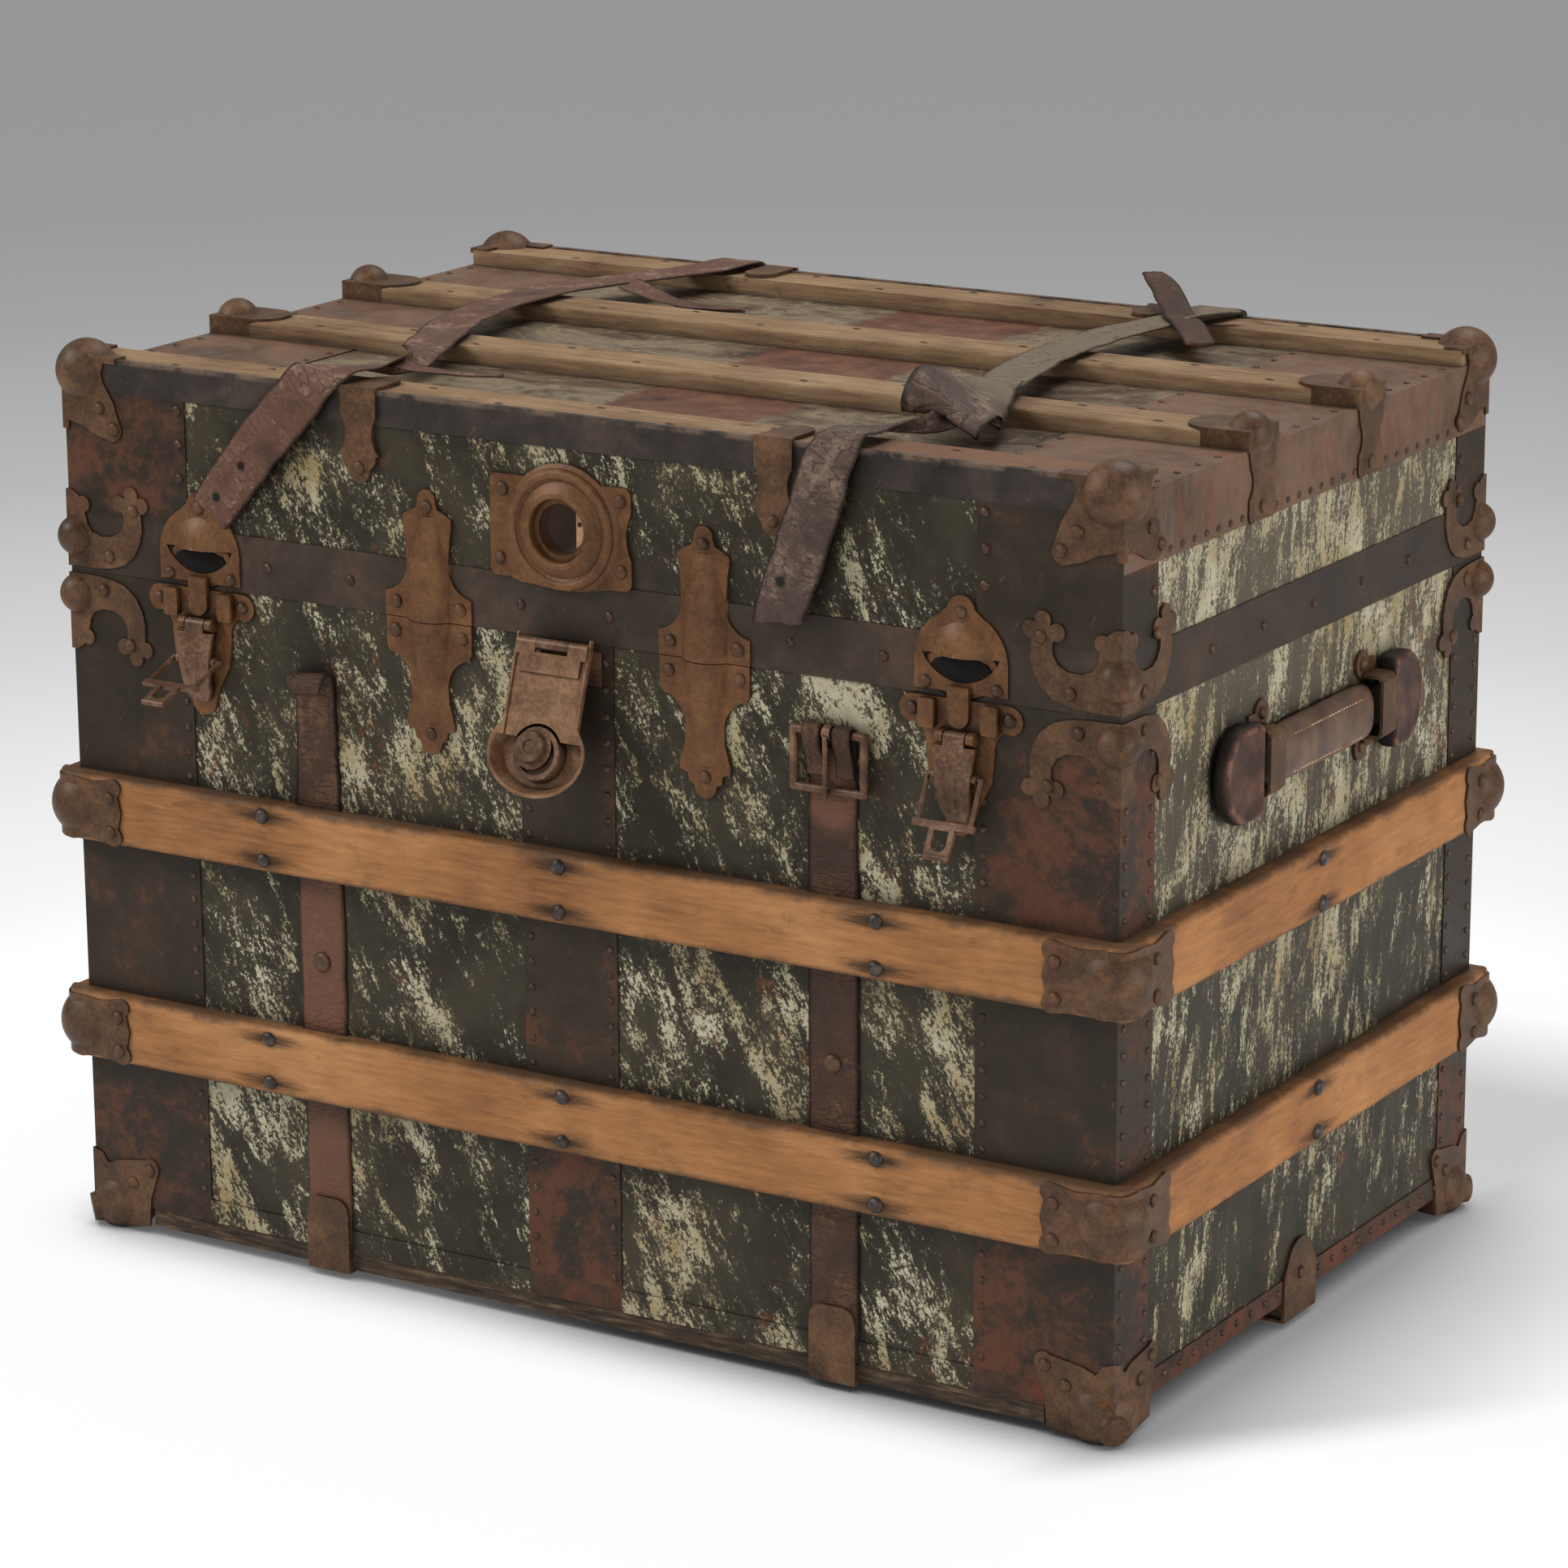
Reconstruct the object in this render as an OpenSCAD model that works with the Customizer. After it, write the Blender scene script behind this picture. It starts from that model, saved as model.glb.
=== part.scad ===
// Flat-top steamer trunk with wooden slats, iron fittings and leather straps
// X runs along the length, -Y is the front, Z = 0 is the floor under the feet

/* [Trunk] */
// Length over the sheet cover
trunk_l = 864; // [820:1:960]
// Depth over the sheet cover, front to back
trunk_w = 559; // [530:1:640]
// Height of the underside above the floor
foot_h = 21; // [19:0.5:25]
// Height at which the lid meets the case
part_z = 507; // [500:1:530]
// Height of the lid's top sheet
top_z = 652; // [645:1:700]
// Open gap between the lid's rails and the case's boards
part_gap = 0.3; // [0.2:0.1:1]

/* [Boards and sheet] */
// Thickness of the wooden boards
board_t = 12; // [9:0.5:14]
// Thickness of the sheet cover
cover_t = 1; // [0.6:0.1:1.5]
// Thickness of the paper and cloth lining
lining_t = 1; // [0.6:0.1:2]
// How far the iron bands stand proud of the cover
band_t = 1; // [0.5:0.1:1.5]
// Length of the corner bands along the front and back
corner_band_l = 107; // [90:1:130]
// Length of the corner bands along the ends
end_band_l = 48; // [40:1:60]
// Width of the middle band of the case
mid_band_w = 78; // [60:1:90]
// Height of the closing band round the lid
closing_band_h = 42; // [36:0.5:44]
// Height of the binding round the base
binding_h = 17; // [12:0.5:20]
// Length of the red end sheets on the lid's top
end_sheet_l = 132; // [110:1:150]
// How far the end sheets fold down the lid's ends
end_sheet_drop = 49; // [44:1:52]
// Drop of the dark angle below the lid's top sheet
angle_drop = 11; // [8:0.5:16]

/* [Slats] */
// Height of the body slats
slat_h = 51; // [44:1:56]
// Thickness of the body slats
slat_t = 15; // [12:0.5:18]
// Middle height of the upper body slats
upper_slat_z = 331; // [320:1:340]
// Middle height of the lower body slats
lower_slat_z = 162.5; // [150:0.5:180]
// Radius of the long edges of the body slats
slat_edge_r = 4; // [2:0.5:6]
// Radius of the slat corners in plan
slat_corner_r = 16; // [15.5:0.5:17.5]
// Width of the top slats
top_slat_w = 43; // [38:0.5:48]
// Thickness of the top slats
top_slat_t = 12.4; // [10:0.2:15]
// Distance of the inner top slats from the middle
inner_slat_y = 84; // [75:1:100]
// Radius of the edges of the top slats
top_slat_r = 3; // [2:0.5:5]
// Thickness of the bottom slats
bottom_slat_t = 13.5; // [11:0.5:15]
// Width of the bottom slats
bottom_slat_w = 44; // [38:1:50]
// Distance from the trunk's corner to the end of the outer bottom slats
bottom_slat_in = 62; // [60:1:80]

/* [Corner castings] */
// Thickness of the cast plates
plate_t = 2.5; // [2:0.1:3.5]
// Radius of the lid's corner domes
dome_r = 23; // [21:0.5:24.5]
// Depth of the dome centres inside the lid's faces
dome_in = 11; // [10:0.5:13]
// Reach of the lid corner lobes along each face
lid_lobe_l = 50.5; // [46:0.5:54]
// Drop of the lid corner lobes below the slat tops
lid_lobe_h = 59; // [56:0.5:61]
// Radius of the slat corner knobs
knob_r = 26; // [24.5:0.5:28]
// Length of the slat clamps from the corner
clamp_l = 48; // [45:1:54]
// Thickness of the slat clamps
clamp_t = 2; // [1.5:0.1:3]
// Radius of the bulge of the bottom corners
foot_r = 25; // [23:0.5:27]
// Depth of the foot centres inside the trunk's faces
foot_in = 15; // [14:0.5:17]
// Height of the bottom corner lobes above the underside
foot_lobe_h = 39.5; // [37:0.5:44]
// Reach of the bottom corner lobes
foot_lobe_l = 59; // [54:1:60]
// Distance from the foot's centre to its pad on the diagonal
foot_flat = 27; // [26:0.5:29]
// Height of the bottom corners' skirt below the underside
foot_skirt = 14; // [11:0.5:15]

/* [Crescents] */
// Reach of the crescents along each face
crescent_l = 66; // [60:1:68]
// Radius of the crescent knobs
crescent_knob_r = 15; // [13:0.5:16]
// Distance from the parting line to a crescent's outer edge
crescent_off = 2.5; // [1.5:0.5:5]

/* [Lock and hasp] */
// Height of the lock's centre
lock_z = 585; // [583:0.5:586]
// Width of the lock plate
lock_w = 116; // [108:1:120]
// Height of the lock plate
lock_h = 72; // [66:1:76]
// Radius of the lock's dished ring
ring_r = 44; // [42:0.5:47]
// How far the lock's ring stands proud
ring_out = 11; // [9:0.5:11]
// Radius of the recess in the ring
recess_r = 22.5; // [21.5:0.5:24]
// Radius of the lock's hole
lock_hole_r = 18.5; // [16:0.5:19]
// Height of the hasp's hinge below the parting line
hasp_drop = 1.5; // [1:0.5:2.5]
// Distance of the hasp's hinge in front of the cover
hasp_out = 14.5; // [14:0.5:18]
// Radius of the hasp's knuckles
hasp_knuckle_r = 4; // [3.5:0.1:5]
// Radius of the hasp's pin
hasp_pin_r = 2; // [1.5:0.1:2.5]
// Width of the hasp's flap
flap_w = 61; // [54:1:66]
// Lean of the hanging hasp out from straight down
hasp_lean = 18.5; // [14:0.5:30]
// Half the width of the hasp's cup
cup_a = 40; // [37:0.5:43]
// Half the height of the hasp's cup
cup_b = 31; // [29:0.5:34]
// Distance from the hinge to the cup's middle
cup_v = 75; // [74:0.5:77]
// Depth of the hasp's cup
cup_depth = 9; // [7:0.5:11]
// Radius of the lock plug
plug_r = 20; // [18:0.5:21]

/* [Dowels] */
// Distance of the dowels from the middle
dowel_x = 114; // [108:1:130]
// Half the width of the dowel plates at the parting line
dowel_hw = 36.5; // [32:0.5:38]
// Radius of the dowel barrels
barrel_r = 21; // [19:0.5:23]
// Depth of the barrels' axis behind the cover
barrel_in = 9; // [8:0.5:10]
// Radius of the dowel pegs
peg_r = 4; // [3.5:0.1:4.2]
// Running clearance round the dowel pegs
peg_gap = 0.5; // [0.4:0.1:0.8]
// Distance of the pegs in front of the cover
peg_out = 5; // [4.8:0.1:5.2]
// Length of the pegs below the parting line
peg_l = 10; // [8:0.5:14]

/* [Latches] */
// Distance of the latches from the trunk's ends
latch_in = 118; // [114:1:130]
// Half the width of the latch keepers
keeper_hw = 35.5; // [32:0.5:37]
// How far the hooded eye of a keeper stands proud
hood_out = 11; // [10.5:0.1:12]
// Height of the lever pins below the parting line
lever_drop = 26; // [24:0.5:30]
// Distance of the lever pins in front of the cover
lever_out = 8; // [7.5:0.1:9]
// Radius of the lever pins
lever_pin_r = 2.5; // [2:0.1:2.8]
// Radius of the lever knuckles
lever_knuckle_r = 4.5; // [4:0.1:5]
// Length of the levers below their pins
lever_l = 57; // [52:1:60]
// Width of the levers at the top
lever_w = 33; // [30:1:35]
// Width of the levers at the tip
lever_tip_w = 18; // [16:1:24]
// Distance of the bail pivots below the lever pins
bail_drop = 26; // [24:0.5:28]
// Distance of the bail pivots in front of the cover
bail_out = 10; // [9.5:0.1:11]
// Radius of the bail wire
bail_wire_r = 1.5; // [1.2:0.1:1.8]
// Half the width of the bails
bail_hw = 20; // [19:0.5:22]
// Distance from the bail pivots to the cross bar
bail_bar = 33; // [31:0.5:36]
// Length of the bails
bail_l = 57; // [54:1:62]
// Lean of the left bail out from straight down
left_bail_lean = 68; // [40:1:80]
// Lean of the right bail out from straight down
right_bail_lean = 26; // [20:1:40]

/* [Straps and buckle] */
// Distance of the straps from the middle
strap_x = 215; // [205:1:225]
// Width of the straps
strap_w = 40; // [34:1:44]
// Thickness of the straps
strap_t = 3; // [2:0.1:3.5]
// Height of the left front strap's torn top
left_strap_top = 458; // [440:1:462]
// Height of the buckle's top bar
buckle_z = 471; // [464:1:474]
// Width of the buckle's frame
buckle_w = 61; // [54:1:64]
// Height of the buckle's frame
buckle_h = 46; // [40:1:50]
// Radius of the buckle's round bar
buckle_bar_r = 3; // [2.5:0.1:3.2]
// Running clearance of the turning pieces
turn_gap = 0.06; // [0.04:0.01:0.1]
// Width of the prong's ring
prong_w = 6; // [5:0.5:8]

/* [Handles] */
// Height of the handles' middle
handle_z = 437; // [430:1:442]
// Distance of the handle loops from the handle's middle
loop_y = 88; // [82:1:96]
// How far the handle loops stand proud
loop_out = 20; // [19:0.5:24]
// Width of the handle loops
loop_w = 22; // [18:1:24]
// Height of the leather grip
grip_h = 42; // [38:1:46]
// Thickness of the leather grip
grip_t = 13; // [11:0.5:13.5]
// Height of the handle's round ends
handle_end_h = 67; // [60:1:70]
// Length of the handle over its ends
handle_l = 310; // [300:1:320]
// Height of the handle's neck
neck_h = 36; // [30:1:38]
// Thickness of the handle's neck
neck_t = 6; // [5:0.5:7]
// Gap between the hanging handle and the cover
handle_gap = 3.3; // [3:0.1:4]

/* [Rear hinges] */
// Distance of the outer hinges from the middle
hinge_x = 300; // [280:1:320]
// Distance of the hinge axis behind the cover
hinge_out = 9; // [8.5:0.1:10]
// Radius of the hinge knuckles
hinge_knuckle_r = 5.5; // [5:0.1:6]
// Radius of the hinge pins
hinge_pin_r = 2.5; // [2:0.1:3]
// Width of the hinge leaves
hinge_leaf_w = 54; // [46:1:60]
// Length of the hinge leaves
hinge_leaf_l = 62; // [50:1:70]

/* [Tray] */
// Gap between the tray and the lining
tray_gap = 3; // [2.5:0.1:5]
// Height of the tray
tray_h = 98; // [80:1:100]
// Thickness of the tray's walls
tray_t = 8; // [6:0.5:10]
// Height of the tray cleats
cleat_h = 16; // [12:1:20]
// Thickness of the tray cleats
cleat_t = 12; // [9:1:14]
// Distance from the tray's top to the parting line
tray_below = 9; // [6:1:14]

/* [Hidden] */
$fn = 48;

half_l = trunk_l / 2;
half_w = trunk_w / 2;
latch_x = half_l - latch_in;
skin_t = board_t + cover_t;
case_top = part_z - part_gap;
slat_top = top_z + top_slat_t;
// Small overlap with the body behind a fitting, cut away again to seat it
root = 3;
// Spare length of a cutting solid past the face it leaves
past = 1;
// Gap between two pieces that only lie close to each other
near_gap = 0.3;

// The left latch bail hangs out furthest in front and the slat knobs behind
knob_out = knob_r - 2;
front_reach = bail_out + bail_l * sin(left_bail_lean);
stand_y = (front_reach - knob_out) / 2;

// Distance of the strap loop's axis in front of the cover
buckle_out = strap_t + buckle_bar_r + 0.6;

wood = [0.62, 0.42, 0.24];
top_wood = [0.66, 0.56, 0.40];
board_wood = [0.58, 0.46, 0.32];
sheet = [0.33, 0.34, 0.29];
band_iron = [0.30, 0.24, 0.21];
red_iron = [0.46, 0.26, 0.20];
cast_iron = [0.45, 0.33, 0.26];
steel = [0.40, 0.35, 0.32];
leather = [0.42, 0.24, 0.20];
paper = [0.80, 0.74, 0.60];

module stand() translate([0, stand_y, 0]) children();
module both_ends() { children(); mirror([1, 0, 0]) children(); }
module both_sides() { children(); mirror([0, 1, 0]) children(); }

// Flat drawings on the faces: x to the right, y up, thickness outwards
module on_front(x, z) translate([x, -half_w, z]) rotate([90, 0, 0]) children();
module on_back(x, z) mirror([0, 1, 0]) on_front(x, z) children();
module on_end(y, z) translate([half_l, y, z]) rotate([90, 0, 90]) children();

// The same drawing on both faces at a front right corner, x running away from the corner
module on_corner(z) {
    on_front(half_l, z) mirror([1, 0, 0]) children();
    on_end(-half_w, z) children();
}

function arc(cx, cy, r, from, to, n) =
    [for (i = [0:n]) let (a = from + (to - from) * i / n) [cx + r * cos(a), cy + r * sin(a)]];
// An outline given by its right half, from the bottom up
function both_halves(right) =
    concat(right, [for (i = [len(right) - 1:-1:0]) if (right[i][0] > 0) [-right[i][0], right[i][1]]]);

module box_shell(l, w, h, t) {
    difference() {
        translate([-l / 2, -w / 2, 0]) cube([l, w, h]);
        translate([-l / 2 + t, -w / 2 + t, -past]) cube([l - 2 * t, w - 2 * t, h + 2 * past]);
    }
}

module round_rect(l, w, r) {
    translate([-l / 2 + r, -w / 2]) square([l - 2 * r, w]);
    translate([-l / 2, -w / 2 + r]) square([l, w - 2 * r]);
    for (x = [-1, 1], y = [-1, 1]) translate([x * (l / 2 - r), y * (w / 2 - r)]) circle(r);
}

// Profile of a bar lying on a face: x along the face, y outwards, outer corners rounded
module bar_profile(w, t, r) {
    translate([-w / 2, 0]) square([w, t - r]);
    translate([-w / 2 + r, 0]) square([w - 2 * r, t]);
    for (x = [-1, 1]) translate([x * (w / 2 - r), t - r]) circle(r);
}

// Solids that the fittings are seated on
module corner_band_shape(z0, z1, end_z1) {
    both_sides() both_ends() {
        translate([half_l - corner_band_l, -half_w - band_t, z0])
            cube([corner_band_l + band_t, band_t, z1 - z0]);
        translate([half_l, -half_w - band_t, z0]) cube([band_t, end_band_l + band_t, end_z1 - z0]);
    }
}

module case_band_shape() {
    corner_band_shape(foot_h + binding_h, case_top, case_top);
    both_sides()
        translate([-mid_band_w / 2, -half_w - band_t, foot_h + binding_h])
            cube([mid_band_w, band_t, case_top - foot_h - binding_h]);
}

module binding_shape() {
    translate([0, 0, foot_h]) box_shell(trunk_l + 2 * band_t, trunk_w + 2 * band_t, binding_h, band_t);
}

module case_block() {
    translate([-half_l, -half_w, foot_h]) cube([trunk_l, trunk_w, case_top - foot_h]);
    case_band_shape();
    binding_shape();
}

module closing_band_shape() {
    translate([0, 0, part_z]) box_shell(trunk_l + 2 * band_t, trunk_w + 2 * band_t, closing_band_h, band_t);
}

module end_sheet_shape() {
    both_ends() {
        translate([half_l - end_sheet_l, -half_w, top_z]) cube([end_sheet_l + band_t, trunk_w, band_t]);
        translate([half_l, -half_w, top_z - end_sheet_drop])
            cube([band_t, trunk_w, end_sheet_drop + past / 2]);
    }
}

module lid_band_shape() {
    corner_band_shape(part_z + closing_band_h, top_z - angle_drop, top_z - end_sheet_drop);
}

module edge_angle_shape() {
    both_sides() difference() {
        translate([-half_l + end_band_l, -half_w - band_t, top_z - angle_drop])
            cube([trunk_l - 2 * end_band_l, 5 * band_t, angle_drop + top_slat_t + band_t]);
        translate([-half_l, -half_w, top_z - 2 * angle_drop])
            cube([trunk_l, 6 * band_t, 2 * angle_drop + top_slat_t]);
    }
}

module lid_block() {
    translate([-half_l, -half_w, part_z]) cube([trunk_l, trunk_w, top_z - part_z]);
    closing_band_shape();
    end_sheet_shape();
    lid_band_shape();
    edge_angle_shape();
    both_sides() translate([-half_l, -half_w, top_z]) cube([trunk_l, top_slat_w, top_slat_t]);
}

module seat_on_case() difference() { children(); case_block(); }
module seat_on_lid() difference() { children(); lid_block(); }

// Wooden case
module case_front_board() color(board_wood) stand()
    translate([-half_l + cover_t, -half_w + cover_t, foot_h])
        cube([trunk_l - 2 * cover_t, board_t, case_top - foot_h]);

module case_back_board() color(board_wood) stand()
    translate([-half_l + cover_t, half_w - skin_t, foot_h])
        cube([trunk_l - 2 * cover_t, board_t, case_top - foot_h]);

module case_end_boards() color(board_wood) stand() both_ends()
    translate([half_l - skin_t, -half_w + skin_t, foot_h])
        cube([board_t, trunk_w - 2 * skin_t, case_top - foot_h]);

module case_floor() color(board_wood) stand()
    translate([-half_l + skin_t, -half_w + skin_t, foot_h])
        cube([trunk_l - 2 * skin_t, trunk_w - 2 * skin_t, board_t]);

module case_lining() color(paper) stand() difference() {
    translate([-half_l + skin_t, -half_w + skin_t, foot_h + board_t])
        cube([trunk_l - 2 * skin_t, trunk_w - 2 * skin_t, case_top - foot_h - board_t]);
    translate([-half_l + skin_t + lining_t, -half_w + skin_t + lining_t, foot_h + board_t + lining_t])
        cube([trunk_l - 2 * skin_t - 2 * lining_t, trunk_w - 2 * skin_t - 2 * lining_t, part_z]);
}

module case_cover() color(sheet) stand()
    translate([0, 0, foot_h]) box_shell(trunk_l, trunk_w, case_top - foot_h, cover_t);

module case_bands() color(band_iron) stand() case_band_shape();
module base_binding() color(red_iron) stand() binding_shape();

// Straps under the slats, as the room that they take
module strap_room(extra) {
    for (x = [-strap_x, strap_x])
        translate([x - strap_w / 2 - extra, -half_w - strap_t - extra, foot_h])
            cube([strap_w + 2 * extra, strap_t + extra, part_z - foot_h]);
}

// One course of slats round the case with its rounded plan corners
module slat_plan(z) {
    translate([0, 0, z - slat_h / 2])
        linear_extrude(slat_h) round_rect(trunk_l + 2 * slat_t, trunk_w + 2 * slat_t, slat_corner_r);
}

module long_slat(z) difference() {
    intersection() {
        translate([-half_l - slat_t, -half_w, z]) rotate([90, 0, 0]) rotate([0, 90, 0])
            linear_extrude(trunk_l + 2 * slat_t) rotate(90) bar_profile(slat_h, slat_t, slat_edge_r);
        slat_plan(z);
    }
    case_block();
    strap_room(near_gap);
}

module body_slats_front() color(wood) stand()
    for (z = [lower_slat_z, upper_slat_z]) long_slat(z);

module body_slats_back() color(wood) stand() mirror([0, 1, 0])
    for (z = [lower_slat_z, upper_slat_z]) long_slat(z);

module body_slats_ends() color(wood) stand() both_ends()
    for (z = [lower_slat_z, upper_slat_z]) difference() {
        intersection() {
            translate([half_l, half_w, z]) rotate([90, 0, 0])
                linear_extrude(trunk_w) rotate(-90) bar_profile(slat_h, slat_t, slat_edge_r);
            slat_plan(z);
        }
        case_block();
    }

module bottom_slats() color(wood) stand() {
    both_sides()
        translate([-half_l + bottom_slat_in, -half_w, foot_h - bottom_slat_t])
            cube([trunk_l - 2 * bottom_slat_in, bottom_slat_w, bottom_slat_t]);
    translate([-half_l, -bottom_slat_w / 2, foot_h - bottom_slat_t])
        cube([trunk_l, bottom_slat_w, bottom_slat_t]);
}

// Clamp at a slat corner: two eared legs folded round the corner, and a round knob
module clamp_leg() {
    ear = 7;
    edge = slat_h / 2;
    waist = edge - 4;
    fold = slat_t + clamp_t;
    linear_extrude(fold) {
        polygon([
            [-fold, -edge + 3], [3, -edge + 1], [18, -waist],
            [clamp_l - ear, -edge], [clamp_l - 2, -edge + ear],
            [clamp_l - 3, -edge / 2], [clamp_l, 0], [clamp_l - 3, edge / 2], [clamp_l - 2, edge - ear],
            [clamp_l - ear, edge], [22, waist], [3, edge - 2], [-fold, edge - 4]
        ]);
        for (y = [-1, 1]) translate([clamp_l - ear, y * (edge - ear)]) circle(ear);
    }
}

module slat_corner_clamps() color(cast_iron) stand() both_sides() both_ends()
    for (z = [lower_slat_z, upper_slat_z]) difference() {
        union() {
            intersection() {
                on_corner(z) clamp_leg();
                translate([0, 0, z - slat_h]) linear_extrude(2 * slat_h)
                    round_rect(trunk_l + 2 * (slat_t + clamp_t), trunk_w + 2 * (slat_t + clamp_t),
                        slat_corner_r + clamp_t);
            }
            intersection() {
                translate([half_l - 2, -half_w + 2, z]) sphere(knob_r);
                translate([half_l - knob_r, -half_w - 2 * knob_r, z - slat_h / 2 + 2])
                    cube([3 * knob_r, 3 * knob_r, slat_h - 4]);
            }
        }
        slat_plan(z);
        case_block();
    }

// Bottom corner: lobed plates up both faces, a tapering foot, a bulge and a pad on the diagonal
module foot_lobe() {
    tip = 7.5;
    ridge = 40;
    linear_extrude(plate_t) polygon(concat(
        [[-plate_t, -foot_skirt], [foot_lobe_l - 10, -foot_skirt], [foot_lobe_l - 8, 8]],
        arc(foot_lobe_l - tip, foot_lobe_h - tip, tip, -10, 130, 8),
        [[35, 36], [22, 34], [12, 30], [9, 33], [7, 37], [-plate_t, ridge]]
    ));
}

module foot_wedge(z) translate([0, 0, z]) linear_extrude(1) polygon([
    [half_l + plate_t, -half_w - plate_t], [half_l - foot_lobe_l + 10, -half_w - plate_t],
    [half_l + plate_t, -half_w + foot_lobe_l - 10]
]);

module bottom_corners() color(cast_iron) stand() both_sides() both_ends() difference() {
    pad_h = 15;
    union() {
        on_corner(foot_h) foot_lobe();
        hull() {
            foot_wedge(foot_h - 1);
            foot_wedge(foot_h - foot_skirt);
            translate([half_l - foot_in, -half_w + foot_in, 0]) cylinder(h = 1, r = foot_in);
        }
        intersection() {
            translate([half_l - foot_in, -half_w + foot_in, foot_h - 2]) sphere(foot_r);
            translate([half_l - 2 * foot_r, -half_w - foot_r, 1]) cube([3 * foot_r, 3 * foot_r, 2 * foot_r]);
        }
        translate([half_l - foot_in, -half_w + foot_in, foot_h - 4]) rotate([0, 98, -45])
            translate([0, 0, foot_flat - pad_h]) cylinder(h = pad_h, r1 = 14, r2 = 10.5);
    }
    case_block();
}

// Clamps that fold up from under the bottom slats
end_clamp_hw = 25.5;
end_clamp_in = 34;
side_clamp_hw = 18.5;
side_clamp_in = 24;

module bottom_clamps() color(cast_iron) stand() difference() {
    under = bottom_slat_t + clamp_t;
    end_half = concat([[end_clamp_hw, 0], [end_clamp_hw, 34]], arc(0, 38, 20, 18, 90, 8));
    side_half = concat([[side_clamp_hw, 0], [side_clamp_hw, 44]], arc(8, 46, 10, 10, 90, 6));
    union() {
        both_ends() {
            on_end(0, foot_h - under) linear_extrude(plate_t) polygon(both_halves(end_half));
            translate([half_l - end_clamp_in, -end_clamp_hw, foot_h - under])
                cube([end_clamp_in + plate_t, 2 * end_clamp_hw, 4 * clamp_t]);
        }
        both_sides() for (x = [-strap_x, strap_x]) {
            on_front(x, foot_h - under) linear_extrude(strap_t + plate_t) polygon(both_halves(side_half));
            translate([x - side_clamp_hw, -half_w - plate_t, foot_h - under])
                cube([2 * side_clamp_hw, side_clamp_in, 4 * clamp_t]);
        }
    }
    case_block();
    strap_room(near_gap);
    mirror([0, 1, 0]) strap_room(near_gap);
    both_sides() translate([-half_l, -half_w, foot_h - bottom_slat_t])
        cube([trunk_l, bottom_slat_w, 2 * bottom_slat_t]);
    translate([-half_l, -half_w / 2, foot_h - bottom_slat_t]) cube([trunk_l, half_w, 2 * bottom_slat_t]);
}

// Crescent on one face: an arm curling up to three lobes, a short arm on the corner, bottom at y = 0
module crescent_face() {
    drawn_l = 66;
    lobe = 6;
    linear_extrude(plate_t) scale(crescent_l / drawn_l) {
        polygon([
            [-plate_t, 0], [26, 0.5], [38, 2], [49, 5.5], [58, 12.5], [63.5, 22], [66, 32], [65.5, 44],
            [50, 44], [49.5, 35.5], [45.5, 29], [38, 25], [28, 24.5], [20, 27.5], [16, 33], [14.5, 40],
            [11, 46], [9, 53], [3, 57], [-plate_t, 57]
        ]);
        translate([57, 48]) circle(1.5 * lobe);
        for (p = [[66, 51], [57, 58], [46.5, 50.5], [12.5, 47]]) translate(p) circle(lobe);
    }
}

module crescent_corner(knob_up) {
    on_corner(0) crescent_face();
    translate([half_l - 3, -half_w + 3, knob_up]) sphere(crescent_knob_r);
}

module case_crescents() color(cast_iron) stand() both_sides() both_ends() seat_on_case()
    translate([0, 0, part_z - crescent_off]) mirror([0, 0, 1]) crescent_corner(16);

module lid_crescents() color(cast_iron) stand() both_sides() both_ends() seat_on_lid()
    translate([0, 0, part_z + crescent_off]) crescent_corner(22);

// Dowels: outline of the plates by their right half, heights from the parting line
lug_half = concat(
    [[dowel_hw, part_gap], [dowel_hw, 18]],
    arc(dowel_hw + 3, 40, 22, 255, 180, 8),
    [[19, 60], [20.5, 68], [20.5, 74], [15, 77], [9, 80]],
    arc(0, 86, 7.5, -10, 90, 6)
);
socket_half = concat(
    [[dowel_hw - 0.5, part_gap], [dowel_hw - 0.5, 21]],
    arc(dowel_hw + 1, 47, 22, 260, 180, 8),
    [[16, 58], [20.5, 74], [20, 78], [14, 80], [13, 86]],
    arc(0, 88, 9, 0, 90, 6)
);

module dowel_lugs() color(cast_iron) stand() for (x = [-dowel_x, dowel_x]) {
    seat_on_lid() {
        on_front(x, part_z) linear_extrude(plate_t) polygon(both_halves(lug_half));
        translate([x, -half_w + barrel_in, part_z + part_gap]) {
            cylinder(h = 40, r = barrel_r);
            translate([0, 0, 40]) cylinder(h = 34, r1 = barrel_r, r2 = barrel_in + plate_t + 1);
        }
    }
    translate([x, -half_w - peg_out, part_z - peg_l]) {
        cylinder(h = peg_l + 2, r = peg_r);
        translate([0, 0, -peg_r / 2]) cylinder(h = peg_r / 2, r1 = peg_r / 2, r2 = peg_r);
    }
}

module dowel_sockets() color(cast_iron) stand() for (x = [-dowel_x, dowel_x]) difference() {
    seat_on_case() {
        on_front(x, part_z) mirror([0, 1, 0]) linear_extrude(plate_t) polygon(both_halves(socket_half));
        translate([x, -half_w + barrel_in, part_z - part_gap]) mirror([0, 0, 1])
            cylinder(h = 74, r1 = barrel_r, r2 = barrel_in + plate_t + 1);
    }
    translate([x, -half_w - peg_out, part_z - peg_l - peg_r])
        cylinder(h = peg_l + 2 * peg_r, r = peg_r + peg_gap);
}

// Latch bases with pads, pin ears and a channel for the keeper's tongue
base_half = concat(
    arc(0, -83, 11, -90, 0, 8),
    [[14, -74], [24, -55], [25.5, -40]],
    arc(40, -32, 14, 190, 120, 6),
    arc(37, -11, 10, -70, 90, 10)
);
tongue_hw = 8;
pad_in = 18;
ear_in = 9;
ear_w = 5.5;

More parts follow.
